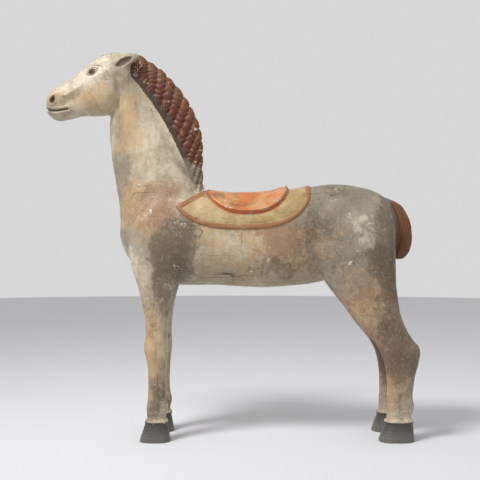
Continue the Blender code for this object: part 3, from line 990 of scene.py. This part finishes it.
class Finish:
    """A material whose nodes are wired from code, on the horse's own coordinates."""

    def __init__(self, name):
        self.material = bpy.data.materials.new(name)
        self.material.use_nodes = True
        self.tree = self.material.node_tree
        self.shader = self.tree.nodes["Principled BSDF"]
        self.place = self.add("ShaderNodeTexCoord").outputs["Object"]

    def add(self, kind, sockets=(), **settings):
        node = self.tree.nodes.new(kind)
        for name, value in settings.items():
            setattr(node, name, value)
        for name, value in dict(sockets).items():
            self.join(value, node.inputs[name])
        return node

    def join(self, value, socket):
        """Wires an output to the socket, or sets the socket to a plain value."""
        if isinstance(value, bpy.types.NodeSocket):
            self.tree.links.new(value, socket)
        else:
            socket.default_value = value

    def field(self, name):
        """What the skin carries under that name."""
        return self.add("ShaderNodeAttribute", attribute_name=name).outputs["Fac"]

    def math(self, operation, first, second=0.0):
        return self.add("ShaderNodeMath", {0: first, 1: second}, operation=operation).outputs[0]

    def total(self, *values):
        """The sum of values, each an output or an output with its weight."""
        made = 0.0
        for value in values:
            output, weight = value if isinstance(value, tuple) else (value, 1.0)
            sockets = {0: output, 1: weight, 2: made}
            made = self.add("ShaderNodeMath", sockets, operation="MULTIPLY_ADD").outputs[0]
        return made

    def span(self, value, low, high, start=0.0, end=1.0):
        """start below low, end above high, and smooth between them."""
        sockets = {"Value": value, "From Min": low, "From Max": high, "To Min": start, "To Max": end}
        node = self.add("ShaderNodeMapRange", sockets, interpolation_type="SMOOTHSTEP")
        return node.outputs["Result"]

    def stretched(self, stretch, shift):
        sockets = {"Vector": self.place, "Scale": stretch, "Location": (shift, shift * 0.7, -shift)}
        return self.add("ShaderNodeMapping", sockets).outputs["Vector"]

    def noise(self, scale, detail=5.0, roughness=0.6, stretch=(1, 1, 1), shift=0.0, warp=0.0):
        sockets = {
            "Vector": self.stretched(stretch, shift),
            "Scale": scale,
            "Detail": detail,
            "Roughness": roughness,
            "Distortion": warp,
        }
        return self.add("ShaderNodeTexNoise", sockets).outputs["Fac"]

    def cells(self, scale, shift):
        """The distance to the edges of cells."""
        sockets = {"Vector": self.stretched((1, 1, 1), shift), "Scale": scale}
        return self.add("ShaderNodeTexVoronoi", sockets, feature="DISTANCE_TO_EDGE").outputs["Distance"]

    def mix(self, amount, below, above):
        """below where amount is 0 and above where it is 1."""
        sockets = {0: amount, 6: below, 7: above}
        return self.add("ShaderNodeMix", sockets, data_type="RGBA", clamp_factor=True).outputs[2]


def opaque(colour):
    """The colour with an alpha of 1, as sockets take it."""
    return (*colour, 1.0)


def bare_wood(finish, colours):
    """Old softwood with its grain along the boards, and the grain's height."""
    lying = finish.noise(1.0, 6.0, 0.65, stretch=(7, 90, 90), warp=0.4)
    standing = finish.noise(1.0, 6.0, 0.65, stretch=(90, 90, 7), warp=0.4)
    upright = finish.field("upright")
    grain = finish.add("ShaderNodeMix", {0: upright, 2: lying, 3: standing}, data_type="FLOAT").outputs[0]
    light, dark = opaque(colours.wood), opaque(colours.wood_grain)
    return finish.mix(finish.span(grain, 0.38, 0.62), dark, light), grain


def splits(finish):
    """1 on thin splits along the boards of the body and the legs."""
    made = []
    for stretch, shift in (((0.7, 30, 30), 3.0), ((30, 30, 0.7), 8.0)):
        wander = finish.noise(1.0, 1.0, 0.4, stretch=stretch, shift=shift)
        off = finish.math("ABSOLUTE", finish.math("SUBTRACT", wander, 0.5))
        made.append(finish.span(off, 0.0060, 0.0020))
    upright = finish.field("upright")
    lying = finish.math("MULTIPLY", made[0], finish.math("SUBTRACT", 1.0, upright))
    standing = finish.math("MULTIPLY", made[1], upright)
    some = finish.span(finish.noise(7.0, 2.0, shift=11.0), 0.54, 0.64)
    return finish.math("MULTIPLY", finish.total(lying, standing), some)


def crazing(finish):
    """1 on the net of fine cracks in the old paint, where it is crazed at all."""
    net = finish.cells(105, shift=5.0)
    fine = finish.cells(230, shift=2.0)
    lines = finish.math("MAXIMUM", finish.span(net, 0.035, 0.006), finish.span(fine, 0.05, 0.01, 0, 0.6))
    some = finish.span(finish.noise(9.0, 3.0, shift=21.0), 0.42, 0.66)
    return finish.math("MULTIPLY", lines, some)


def stained(finish, colour, colours):
    """Layers of older paint, varnish, soiling and some painted shade over the cream, patchy where the
    stains lie.
    """
    for layer, (scale, shift, everywhere) in STAIN_LAYERS.items():
        amount = finish.field(layer)
        clouds = finish.noise(scale, 10.0, 0.72, shift=shift, warp=0.5)
        specks = finish.noise(scale * 6, 5.0, 0.65, shift=shift + 3)
        threshold = finish.total((amount, -0.50), 0.75 - 0.50 * everywhere)
        patchy = finish.total((clouds, 0.65), (specks, 0.35), (threshold, -1.0))
        flakes = finish.span(patchy, -0.05, 0.05)
        cover = finish.total((amount, STAIN_VEIL), (flakes, STAIN_FLAKES))
        colour = finish.mix(cover, colour, opaque(getattr(colours, layer)))
    return colour


def body_paint(finish, colours):
    """The cream of the body, uneven from brush, smoke and sun, under stains that hold some painted shade.
    """
    broad = finish.noise(6.0, 4.0, shift=40.0)
    fine = finish.noise(46.0, 6.0, 0.65, shift=43.0)
    tone = finish.span(finish.total((broad, 0.6), (fine, 0.4)), 0.40, 0.60)
    colour = finish.mix(tone, opaque(colours.cream_shade), opaque(colours.cream))
    colour = stained(finish, colour, colours)
    drips = finish.noise(1.0, 6.0, 0.65, stretch=(75, 75, 5), shift=46.0, warp=0.3)
    colour = finish.mix(finish.span(drips, 0.50, 0.74, 0.0, 0.40), colour, opaque(colours.umber))
    rubbed = finish.noise(120.0, 4.0, 0.7, shift=48.0)
    return finish.mix(finish.span(rubbed, 0.55, 0.75, 0.0, 0.35), colour, opaque(colours.bleached))


def over(finish, colour, edge, sharp, above):
    """above laid over colour inside an edge that wavers as a brush does."""
    waver = finish.noise(70.0, 4.0, shift=50.0)
    inside = finish.total(edge, (waver, 0.30), -0.15)
    return finish.mix(finish.span(inside, -sharp, sharp), colour, above)


def hair_paint(finish, colours):
    """Maroon locks with a dark border along the neck and a redder outer edge."""
    across = finish.field("across_mane")
    uneven = finish.noise(16.0, 6.0, shift=60.0)
    worn = finish.span(finish.total((finish.field("strand"), 0.35), uneven), 0.50, 0.72)
    outer = finish.span(finish.total(across, (uneven, 0.4)), 0.80, 1.15)
    red = finish.mix(outer, opaque(colours.maroon), opaque(colours.hair_edge))
    red = finish.mix(finish.math("MULTIPLY", worn, 0.45), red, opaque(colours.hair_worn))
    border = finish.total(across, (uneven, 0.3), -0.15)
    border = finish.span(border, MANE_BORDER[1], MANE_BORDER[0])
    on_mane = finish.span(finish.field("mane"), -0.2, 0.0)
    border = finish.math("MULTIPLY", border, on_mane)
    hair = finish.mix(border, red, opaque(colours.hair_border))
    foot = finish.total(finish.field("mane_foot"), (uneven, 0.8), -0.4)
    foot = finish.math("MULTIPLY", finish.span(foot, 0.2, 0.8, 0.0, 0.85), on_mane)
    return finish.mix(foot, hair, opaque(colours.grey))


def saddle_paint(finish, colour, colours, sizes):
    """The ochre cloth with its hem and the orange seat with its rim."""
    uneven = finish.noise(14.0, 10.0, 0.72, shift=70.0)
    cloth, seat = finish.field("cloth"), finish.field("seat")
    faded = finish.span(uneven, 0.42, 0.60)
    scuffs = finish.noise(1.0, 8.0, 0.7, stretch=(16, 16, 34), shift=74.0, warp=0.4)
    ochre = finish.mix(faded, opaque(colours.cloth), opaque(colours.cloth_faded))
    hem_edge = sizes.hem_width / CENTIMETRE
    ochre = finish.mix(finish.span(cloth, hem_edge + 0.05, hem_edge - 0.05), ochre, opaque(colours.hem))
    ochre = finish.mix(finish.span(scuffs, 0.54, 0.66, 0.0, 0.55), ochre, opaque(colours.cream_shade))
    ochre = finish.mix(finish.span(scuffs, 0.46, 0.34, 0.0, 0.55), ochre, opaque(colours.umber))
    colour = over(finish, colour, cloth, 0.05, ochre)
    orange = finish.mix(faded, opaque(colours.seat), opaque(colours.seat_faded))
    rim_edge = sizes.rim_width / CENTIMETRE
    orange = finish.mix(finish.span(seat, rim_edge + 0.05, rim_edge - 0.05), orange, opaque(colours.rim))
    orange = finish.mix(finish.span(scuffs, 0.54, 0.66, 0.0, 0.60), orange, opaque(colours.cream_shade))
    orange = finish.mix(finish.span(scuffs, 0.46, 0.34, 0.0, 0.55), orange, opaque(colours.umber))
    return over(finish, colour, seat, 0.05, orange)


def face_paint(finish, colour, colours):
    """A dark eye with a pale rim, dusky nostrils and lips, and dusky hollows in the ears."""
    dusk = opaque(colours.dusk)
    near = finish.span(finish.field("nostril"), 1.5, 0.7, 0.0, 0.9)
    colour = finish.mix(near, colour, dusk)
    colour = finish.mix(finish.span(finish.field("mouth"), 0.55, 0.1, 0.0, 0.8), colour, dusk)
    colour = finish.mix(finish.math("MULTIPLY", finish.field("ear_hollow"), 0.8), colour, dusk)
    eye = finish.field("eye")
    colour = finish.mix(finish.span(eye, 1.5, 1.1, 0.0, 0.7), colour, dusk)
    colour = finish.mix(finish.span(eye, 1.02, 0.96), colour, opaque(colours.eye_white))
    colour = finish.mix(finish.span(eye, 0.80, 0.72), colour, opaque(colours.iris))
    return finish.mix(finish.span(eye, 0.42, 0.34), colour, opaque(colours.pupil))


def whole_paint(finish, colours, sizes):
    """The horse as it was painted, with its old stains, before it chipped and cracked."""
    colour = body_paint(finish, colours)
    colour = saddle_paint(finish, colour, colours, sizes)
    hair = hair_paint(finish, colours)
    for edge in ("mane", "tail"):
        colour = over(finish, colour, finish.field(edge), 0.10, hair)
    dark_lock = opaque(colours.hair_border)
    colour = finish.mix(finish.math("MULTIPLY", finish.field("forelock"), 0.85), colour, dark_lock)
    hoof = finish.field("hoof")
    horn = finish.mix(finish.span(hoof, 1.0, 4.5), opaque(colours.hoof), opaque(colours.hoof_low))
    colour = over(finish, colour, hoof, 0.12, horn)
    return face_paint(finish, colour, colours)


def paint_loss(finish, edge):
    """1 where the primer shows and 1 where the wood does. Edges lose more and the tail less."""
    flaking = finish.noise(22.0, 10.0, 0.66, shift=80.0, warp=0.25)
    broad = finish.noise(5.0, 3.0, shift=83.0)
    on_tail = finish.span(finish.field("tail"), -0.2, 0.0)
    loss = finish.total(
        flaking, (edge, CHIPS_ON_EDGES), (broad, 0.35), (on_tail, -CHIPS_KEPT_OFF_TAIL), -0.175
    )
    wood_from = CHIPS_FROM + WOOD_FROM
    primer_shows = finish.span(loss, CHIPS_FROM, CHIPS_FROM + PRIMER_FADE)
    return primer_shows, finish.span(loss, wood_from, wood_from + WOOD_FADE)


def dirt_and_shade_on(finish, edge, patchy):
    """How far the skin is darkened by painted shade and made dirty: most where it is sheltered, folds in or
    is grooved.
    """
    return finish.total(
        (finish.span(finish.field("shelter"), 0.25, 0.85), 0.75),
        (finish.span(edge, -0.02, -0.16), 0.35),
        (finish.field("groove"), 0.45),
        (finish.span(finish.field("strand"), -0.2, -0.9), 0.25),
        (patchy, 0.5),
        -0.30,
    )


def worn_paint(colours, sizes):
    """Old oil paint on primed wood: chipped at its edges, crazed, split along the boards, dirty and
    darkened by painted shade in its hollows.
    """
    finish = Finish("worn_paint")
    wood, grain = bare_wood(finish, colours)
    colour = whole_paint(finish, colours, sizes)
    edge = finish.field("edge")
    primer_shows, wood_shows = paint_loss(finish, edge)
    rubbed = finish.span(grain, 0.40, 0.60)
    primer = finish.mix(rubbed, opaque(colours.primer_dirty), opaque(colours.primer))
    colour = finish.mix(primer_shows, colour, primer)
    colour = finish.mix(wood_shows, colour, wood)

    cracks, split = crazing(finish), splits(finish)
    patchy = finish.noise(30.0, 6.0, shift=90.0)
    dirt_and_shade = dirt_and_shade_on(finish, edge, patchy)
    grime_and_shade = opaque(colours.grime_and_shade)
    colour = finish.mix(finish.math("MULTIPLY", cracks, 0.45), colour, grime_and_shade)
    colour = finish.mix(finish.math("MULTIPLY", split, 0.9), colour, grime_and_shade)
    # Painted shade: the colour darkens where the skin is sheltered, folds in or is grooved, and in dirty
    # patches.
    colour = finish.mix(finish.span(dirt_and_shade, 0.05, 1.1, 0.0, 0.85), colour, grime_and_shade)
    finish.join(colour, finish.shader.inputs["Base Color"])

    rough = finish.total((patchy, 0.35), (wood_shows, 0.25), (primer_shows, 0.12), (dirt_and_shade, 0.10), 0.30)
    finish.join(finish.math("MINIMUM", rough, 0.95), finish.shader.inputs["Roughness"])
    brushed = finish.noise(1.0, 4.0, 0.6, stretch=(60, 220, 220), shift=95.0)
    pitted = finish.noise(160.0, 4.0, 0.6, shift=97.0)
    height = finish.total(
        (primer_shows, -0.35),
        (wood_shows, -0.35),
        (finish.math("MULTIPLY", grain, wood_shows), 0.5),
        (cracks, -0.35),
        (split, -1.2),
        (brushed, 0.10),
        (pitted, 0.12),
    )
    sockets = {"Strength": 0.6, "Distance": sizes.paint_thickness, "Height": height}
    finish.join(finish.add("ShaderNodeBump", sockets).outputs["Normal"], finish.shader.inputs["Normal"])
    finish.shader.inputs["Specular IOR Level"].default_value = 0.42
    return finish.material


def plain_floor(colours):
    """Matt pale floor."""
    finish = Finish("pale_floor")
    finish.shader.inputs["Base Color"].default_value = opaque(colours.floor)
    finish.shader.inputs["Roughness"].default_value = 0.9
    finish.shader.inputs["Specular IOR Level"].default_value = 0.2
    return finish.material


def linear(*levels):
    """A colour as light, from its levels from 0 to 255 on a screen."""
    shares = [level / 255 for level in levels]
    return tuple(s / 12.92 if s <= 0.04045 else ((s + 0.055) / 1.055) ** 2.4 for s in shares)


def length(name, description, default):
    """A size in metres that a user may change."""
    return FloatProperty(
        name=name, description=description, default=default, min=0.0, precision=4, unit="LENGTH"
    )


def paint(name, description, *levels):
    """A colour that a user may change, from its levels from 0 to 255 on a screen."""
    return FloatVectorProperty(
        name=name, description=description, default=linear(*levels), subtype="COLOR", size=3, min=0, max=1
    )


class HorseSizes(bpy.types.PropertyGroup):
    """Widths of the horse, which the side view doesn't show, and the depths of its carving."""

    barrel_width: length("Barrel Width", "Width of the trunk at its widest", 0.250)
    neck_width: length("Neck Width", "Width of the neck halfway up", 0.104)
    head_width: length("Head Width", "Width of the head across the cheeks", 0.118)
    ear_thickness: length("Ear Thickness", "Thickness of an ear", 0.026)
    ear_spread: length("Ear Spread", "Distance between the roots of the ears", 0.070)
    ear_splay: length("Ear Splay", "How far each ear leans outwards", 0.010)
    ear_hollow_length: length("Ear Hollow Length", "Length of the hollow in an ear", 0.058)
    ear_hollow_height: length("Ear Hollow Height", "Height of the hollow in an ear", 0.022)
    ear_hollow_depth: length("Ear Hollow Depth", "Depth of the hollow in an ear", 0.006)
    mane_thickness: length("Mane Thickness", "Thickness of the mane", 0.042)
    mane_lock_pitch: length("Mane Lock Pitch", "Distance from one lock of the mane to the next", 0.033)
    lock_depth: length("Lock Depth", "Depth of the grooves between locks of hair", 0.008)
    strand_depth: length("Strand Depth", "Depth of the grooves between strands", 0.0011)
    strands_in_lock: IntProperty(name="Strands", description="Strands in a lock", default=5, min=1)
    forelock_relief: length("Forelock Relief", "How far the forelock stands off the brow", 0.003)
    tail_width: length("Tail Width", "Width of the docked tail", 0.060)
    tail_lock_count: IntProperty(name="Tail Locks", description="Locks round the tail", default=5, min=1)
    stance_width: length("Stance Width", "Distance between the legs of a pair", 0.152)
    cannon_width: length("Cannon Width", "Width of a leg below the knee", 0.054)
    cloth_relief: length("Cloth Relief", "How far the saddle cloth stands off the back", 0.005)
    hem_width: length("Hem Width", "Width of the cloth's hem", 0.015)
    hem_depth: length("Hem Depth", "Depth of the groove inside the hem and the rim", 0.0016)
    seat_relief: length("Seat Relief", "How far the seat stands off the cloth", 0.007)
    rim_width: length("Rim Width", "Width of the seat's rolled rim", 0.013)
    rim_relief: length("Rim Relief", "How far the rolled rim stands off the seat", 0.0022)
    cantle_relief: length("Cantle Relief", "How far the cantle rises above the seat", 0.004)
    eye_length: length("Eye Length", "Length of the eye between its corners", 0.030)
    eye_height: length("Eye Height", "Height of the open eye", 0.020)
    eye_relief: length("Eye Relief", "How far the ball of the eye stands out", 0.007)
    lid_relief: length("Lid Relief", "How far the eyelids stand out", 0.0024)
    nostril_length: length("Nostril Length", "Length of a nostril", 0.024)
    nostril_height: length("Nostril Width", "Width of a nostril", 0.014)
    nostril_depth: length("Nostril Depth", "Depth of a nostril", 0.007)
    mouth_width: length("Mouth Width", "Width of the groove between the lips", 0.010)
    mouth_depth: length("Mouth Depth", "Depth of the groove between the lips", 0.005)
    cheek_radius: length("Cheek Radius", "Radius of the round of the cheek", 0.052)
    cheek_relief: length("Cheek Relief", "How far the cheek stands out", 0.006)
    chest_furrow_width: length("Chest Furrow Width", "Width of the furrow down the breast", 0.030)
    chest_furrow_height: length("Chest Furrow Height", "Height of the furrow down the breast", 0.120)
    chest_furrow_depth: length("Chest Furrow Depth", "Depth of the furrow down the breast", 0.008)
    coronet_width: length("Coronet Width", "Width of the band above a hoof", 0.014)
    coronet_relief: length("Coronet Relief", "How far that band stands out", 0.004)
    hoof_ring_pitch: length("Hoof Ring Pitch", "Distance between the growth rings of a hoof", 0.0085)
    hoof_ring_depth: length("Hoof Ring Depth", "Depth of the growth rings of a hoof", 0.0005)
    hand_mark_depth: length("Hand Mark Depth", "Unevenness that the gouge leaves", 0.0008)
    # Its sheltering darkens the hollows as painted shade.
    shelter_reach: length("Shelter Reach", "How far away a neighbour still gathers dirt", 0.090)
    paint_thickness: length("Paint Thickness", "Depth of a chip in the paint", 0.0012)
    triangles: IntProperty(name="Triangles", description="Triangles in the carving", default=190000)


class PaintColours(bpy.types.PropertyGroup):
    """The paints, the wood below them, what makes them dirty and the painted shade in their hollows."""

    cream: paint("Cream", "The body's old cream paint", 196, 184, 160)
    cream_shade: paint("Cream Shade", "The same paint where it has dulled", 158, 145, 120)
    bleached: paint("Bleached", "Paint that has faded nearly white", 214, 206, 184)
    grey: paint("Grey", "Warm grey of old dapples", 120, 113, 98)
    ochre: paint("Ochre", "Tan varnish and older ochre paint", 186, 151, 107)
    rust: paint("Rust", "Red-brown older paint", 137, 97, 73)
    # Also the colour of the painted shade along the belly, at the elbow and between the tail and the
    # buttock.
    umber: paint("Umber", "Dark wood and soot", 84, 70, 52)
    wood: paint("Wood", "Bare softwood", 150, 116, 78)
    wood_grain: paint("Wood Grain", "Dark lines in the softwood", 92, 66, 42)
    primer: paint("Primer", "White ground under the paint", 214, 206, 186)
    primer_dirty: paint("Dirty Primer", "The same where it is stained", 176, 160, 130)
    # Also the colour of the painted shade in hollows, folds and grooves.
    grime_and_shade: paint("Grime", "Dirt in the hollows and cracks", 52, 44, 34)
    maroon: paint("Maroon", "Mane and tail", 90, 40, 15)
    hair_edge: paint("Hair Edge", "The mane's outer edge", 106, 63, 31)
    hair_worn: paint("Worn Hair", "Where the strands are rubbed", 122, 82, 50)
    hair_border: paint("Hair Border", "Dark border of the mane along the neck", 66, 52, 36)
    cloth: paint("Cloth", "The saddle cloth", 158, 130, 84)
    cloth_faded: paint("Faded Cloth", "The saddle cloth where it has faded", 178, 154, 114)
    hem: paint("Hem", "The saddle cloth's hem", 146, 100, 60)
    seat: paint("Seat", "The carved seat", 182, 104, 48)
    seat_faded: paint("Faded Seat", "The seat where it has faded", 190, 140, 92)
    rim: paint("Rim", "The seat's rolled rim", 158, 82, 42)
    hoof: paint("Hoof", "The upper part of a hoof", 66, 64, 59)
    hoof_low: paint("Lower Hoof", "The lower part of a hoof", 96, 93, 87)
    dusk: paint("Dusk", "Nostrils, lips, eyelids and hollows of the ears", 96, 72, 54)
    eye_white: paint("Eye White", "The white of the eye", 196, 186, 160)
    iris: paint("Iris", "The iris", 74, 44, 26)
    pupil: paint("Pupil", "The pupil", 16, 14, 12)
    floor: paint("Floor", "The pale studio floor", 211, 211, 214)


class StageSizes(bpy.types.PropertyGroup):
    """The floor, the light and the camera."""

    camera_x: length("Camera X", "How far right of the horse's middle", 0.026)
    camera_distance: length("Camera Distance", "From the horse's middle plane", 2.800)
    camera_height: length("Camera Height", "Above the ground", 0.559)
    lens: FloatProperty(name="Lens", description="Focal length in millimetres", default=73.3, unit="CAMERA")
    floor_radius: length("Floor Radius", "From the horse to the edge of the floor", 7.0)
    key_power: FloatProperty(
        name="Key Power", description="The soft lamp, high on the left", default=28.0, min=0.0, unit="POWER"
    )
    key_size: length("Key Size", "Width of the soft lamp", 1.4)
    key_beam: FloatProperty(
        name="Key Beam",
        description="Angle that the soft lamp's grid lets through",
        default=np.radians(70),
        subtype="ANGLE",
    )
    daylight: FloatProperty(
        name="Daylight", description="Strength of the even light from all round", default=0.68, min=0.0
    )


class CAROUSEL_OT_carve_horse(bpy.types.Operator):
    """Carves the horse over its solid and lays out where its paints go"""

    bl_idname = "carousel.carve_horse"
    bl_label = "Carve Horse"

    def execute(self, context):
        sizes = context.scene.horse_sizes
        mesh = carving(sizes)
        fields = paint_fields(places(mesh), sizes)
        fields["edge"] = convexity(mesh)
        # How shut in each point is, for the painted shade in the hollows.
        fields["shelter"] = shelter(mesh, sizes.shelter_reach)
        for name, values in fields.items():
            attribute = mesh.attributes.new(name, "FLOAT", "POINT")
            attribute.data.foreach_set("value", np.asarray(values, np.float32))
        reach = places(mesh)[:, 0]
        shift = (CAD_LOW.x + CAD_HIGH.x) / 2 - (reach.min() + reach.max()) / 2
        mesh.transform(Matrix.Translation((shift, 0, 0)))
        mesh.shade_smooth()
        mesh.name = PIECE
        horse = bpy.data.objects.new(PIECE, mesh)
        context.scene.collection.objects.link(horse)
        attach(horse, "root")
        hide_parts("horse")
        return {"FINISHED"}


class CAROUSEL_OT_paint_horse(bpy.types.Operator):
    """Gives the carved horse its worn paint"""

    bl_idname = "carousel.paint_horse"
    bl_label = "Paint Horse"

    def execute(self, context):
        horse = bpy.data.objects[PIECE]
        scene = context.scene
        horse.data.materials.clear()
        horse.data.materials.append(worn_paint(scene.paint_colours, scene.horse_sizes))
        return {"FINISHED"}


def key_lamp(stage):
    """A round soft lamp with a grid, high on the left ahead of the horse, that no view shows."""
    light = bpy.data.lights.new("key_lamp", "AREA")
    light.energy = stage.key_power
    light.shape = "DISK"
    light.size = stage.key_size
    light.spread = stage.key_beam
    holder = bpy.data.objects.new("key_lamp", light)
    holder.visible_camera = False
    holder.location = KEY_LAMP_PLACE
    way = Vector(KEY_LAMP_AIM) - Vector(KEY_LAMP_PLACE)
    holder.rotation_euler = way.to_track_quat("-Z", "Y").to_euler()
    bpy.context.scene.collection.objects.link(holder)


def soft_daylight(strength):
    """An even white sky all round."""
    world = bpy.data.worlds.new("soft_daylight")
    world.use_nodes = True
    sky = world.node_tree.nodes["Background"]
    sky.inputs["Color"].default_value = (1, 1, 1, 1)
    sky.inputs["Strength"].default_value = strength
    return world


def side_camera(stage):
    """The camera, level and square to the horse's left side."""
    camera = bpy.data.cameras.new("camera")
    camera.lens = stage.lens
    camera.sensor_width = SENSOR_WIDTH
    holder = bpy.data.objects.new("camera", camera)
    holder.location = (stage.camera_x, -stage.camera_distance, stage.camera_height)
    holder.rotation_euler = (np.pi / 2, 0, 0)
    bpy.context.scene.collection.objects.link(holder)
    return holder


def studio_floor(stage, material):
    """A wide round floor that the horse stands on the middle of, so that it can be seen from all round."""
    shape = bmesh.new()
    bmesh.ops.create_circle(shape, cap_ends=True, segments=FLOOR_SIDES, radius=stage.floor_radius)
    mesh = bpy.data.meshes.new("studio_floor")
    shape.to_mesh(mesh)
    shape.free()
    mesh.materials.append(material)
    floor = bpy.data.objects.new("studio_floor", mesh)
    bpy.context.scene.collection.objects.link(floor)


class CAROUSEL_OT_set_stage(bpy.types.Operator):
    """Lays the pale floor, sets the soft light and the camera at the horse's left side"""

    bl_idname = "carousel.set_stage"
    bl_label = "Set Stage"

    def execute(self, context):
        scene = context.scene
        stage = scene.stage_sizes
        studio_floor(stage, plain_floor(scene.paint_colours))
        key_lamp(stage)
        scene.world = soft_daylight(stage.daylight)
        scene.camera = side_camera(stage)
        scene.view_settings.view_transform = "Standard"
        return {"FINISHED"}


class CAROUSEL_PT_horse(bpy.types.Panel):
    """Lists the horse's sizes, paints and stage with the buttons that make them"""

    bl_label = "Carousel Horse"
    bl_idname = "CAROUSEL_PT_horse"
    bl_space_type = "VIEW_3D"
    bl_region_type = "UI"
    bl_category = "Carousel"

    def draw(self, context):
        groups = (
            (CAROUSEL_OT_carve_horse, context.scene.horse_sizes),
            (CAROUSEL_OT_paint_horse, context.scene.paint_colours),
            (CAROUSEL_OT_set_stage, context.scene.stage_sizes),
        )
        for operator, group in groups:
            box = self.layout.box()
            box.operator(operator.bl_idname)
            for name in group.__annotations__:
                box.prop(group, name)


GROUPS = {"horse_sizes": HorseSizes, "paint_colours": PaintColours, "stage_sizes": StageSizes}
CLASSES = (
    *GROUPS.values(),
    CAROUSEL_OT_carve_horse,
    CAROUSEL_OT_paint_horse,
    CAROUSEL_OT_set_stage,
    CAROUSEL_PT_horse,
)


def register():
    for made in CLASSES:
        bpy.utils.register_class(made)
    for name, group in GROUPS.items():
        setattr(bpy.types.Scene, name, PointerProperty(type=group))


def unregister():
    for name in GROUPS:
        delattr(bpy.types.Scene, name)
    for made in reversed(CLASSES):
        bpy.utils.unregister_class(made)


def main():
    register()
    bpy.ops.carousel.carve_horse()
    bpy.ops.carousel.paint_horse()
    bpy.ops.carousel.set_stage()


if __name__ == "__main__":
    main()
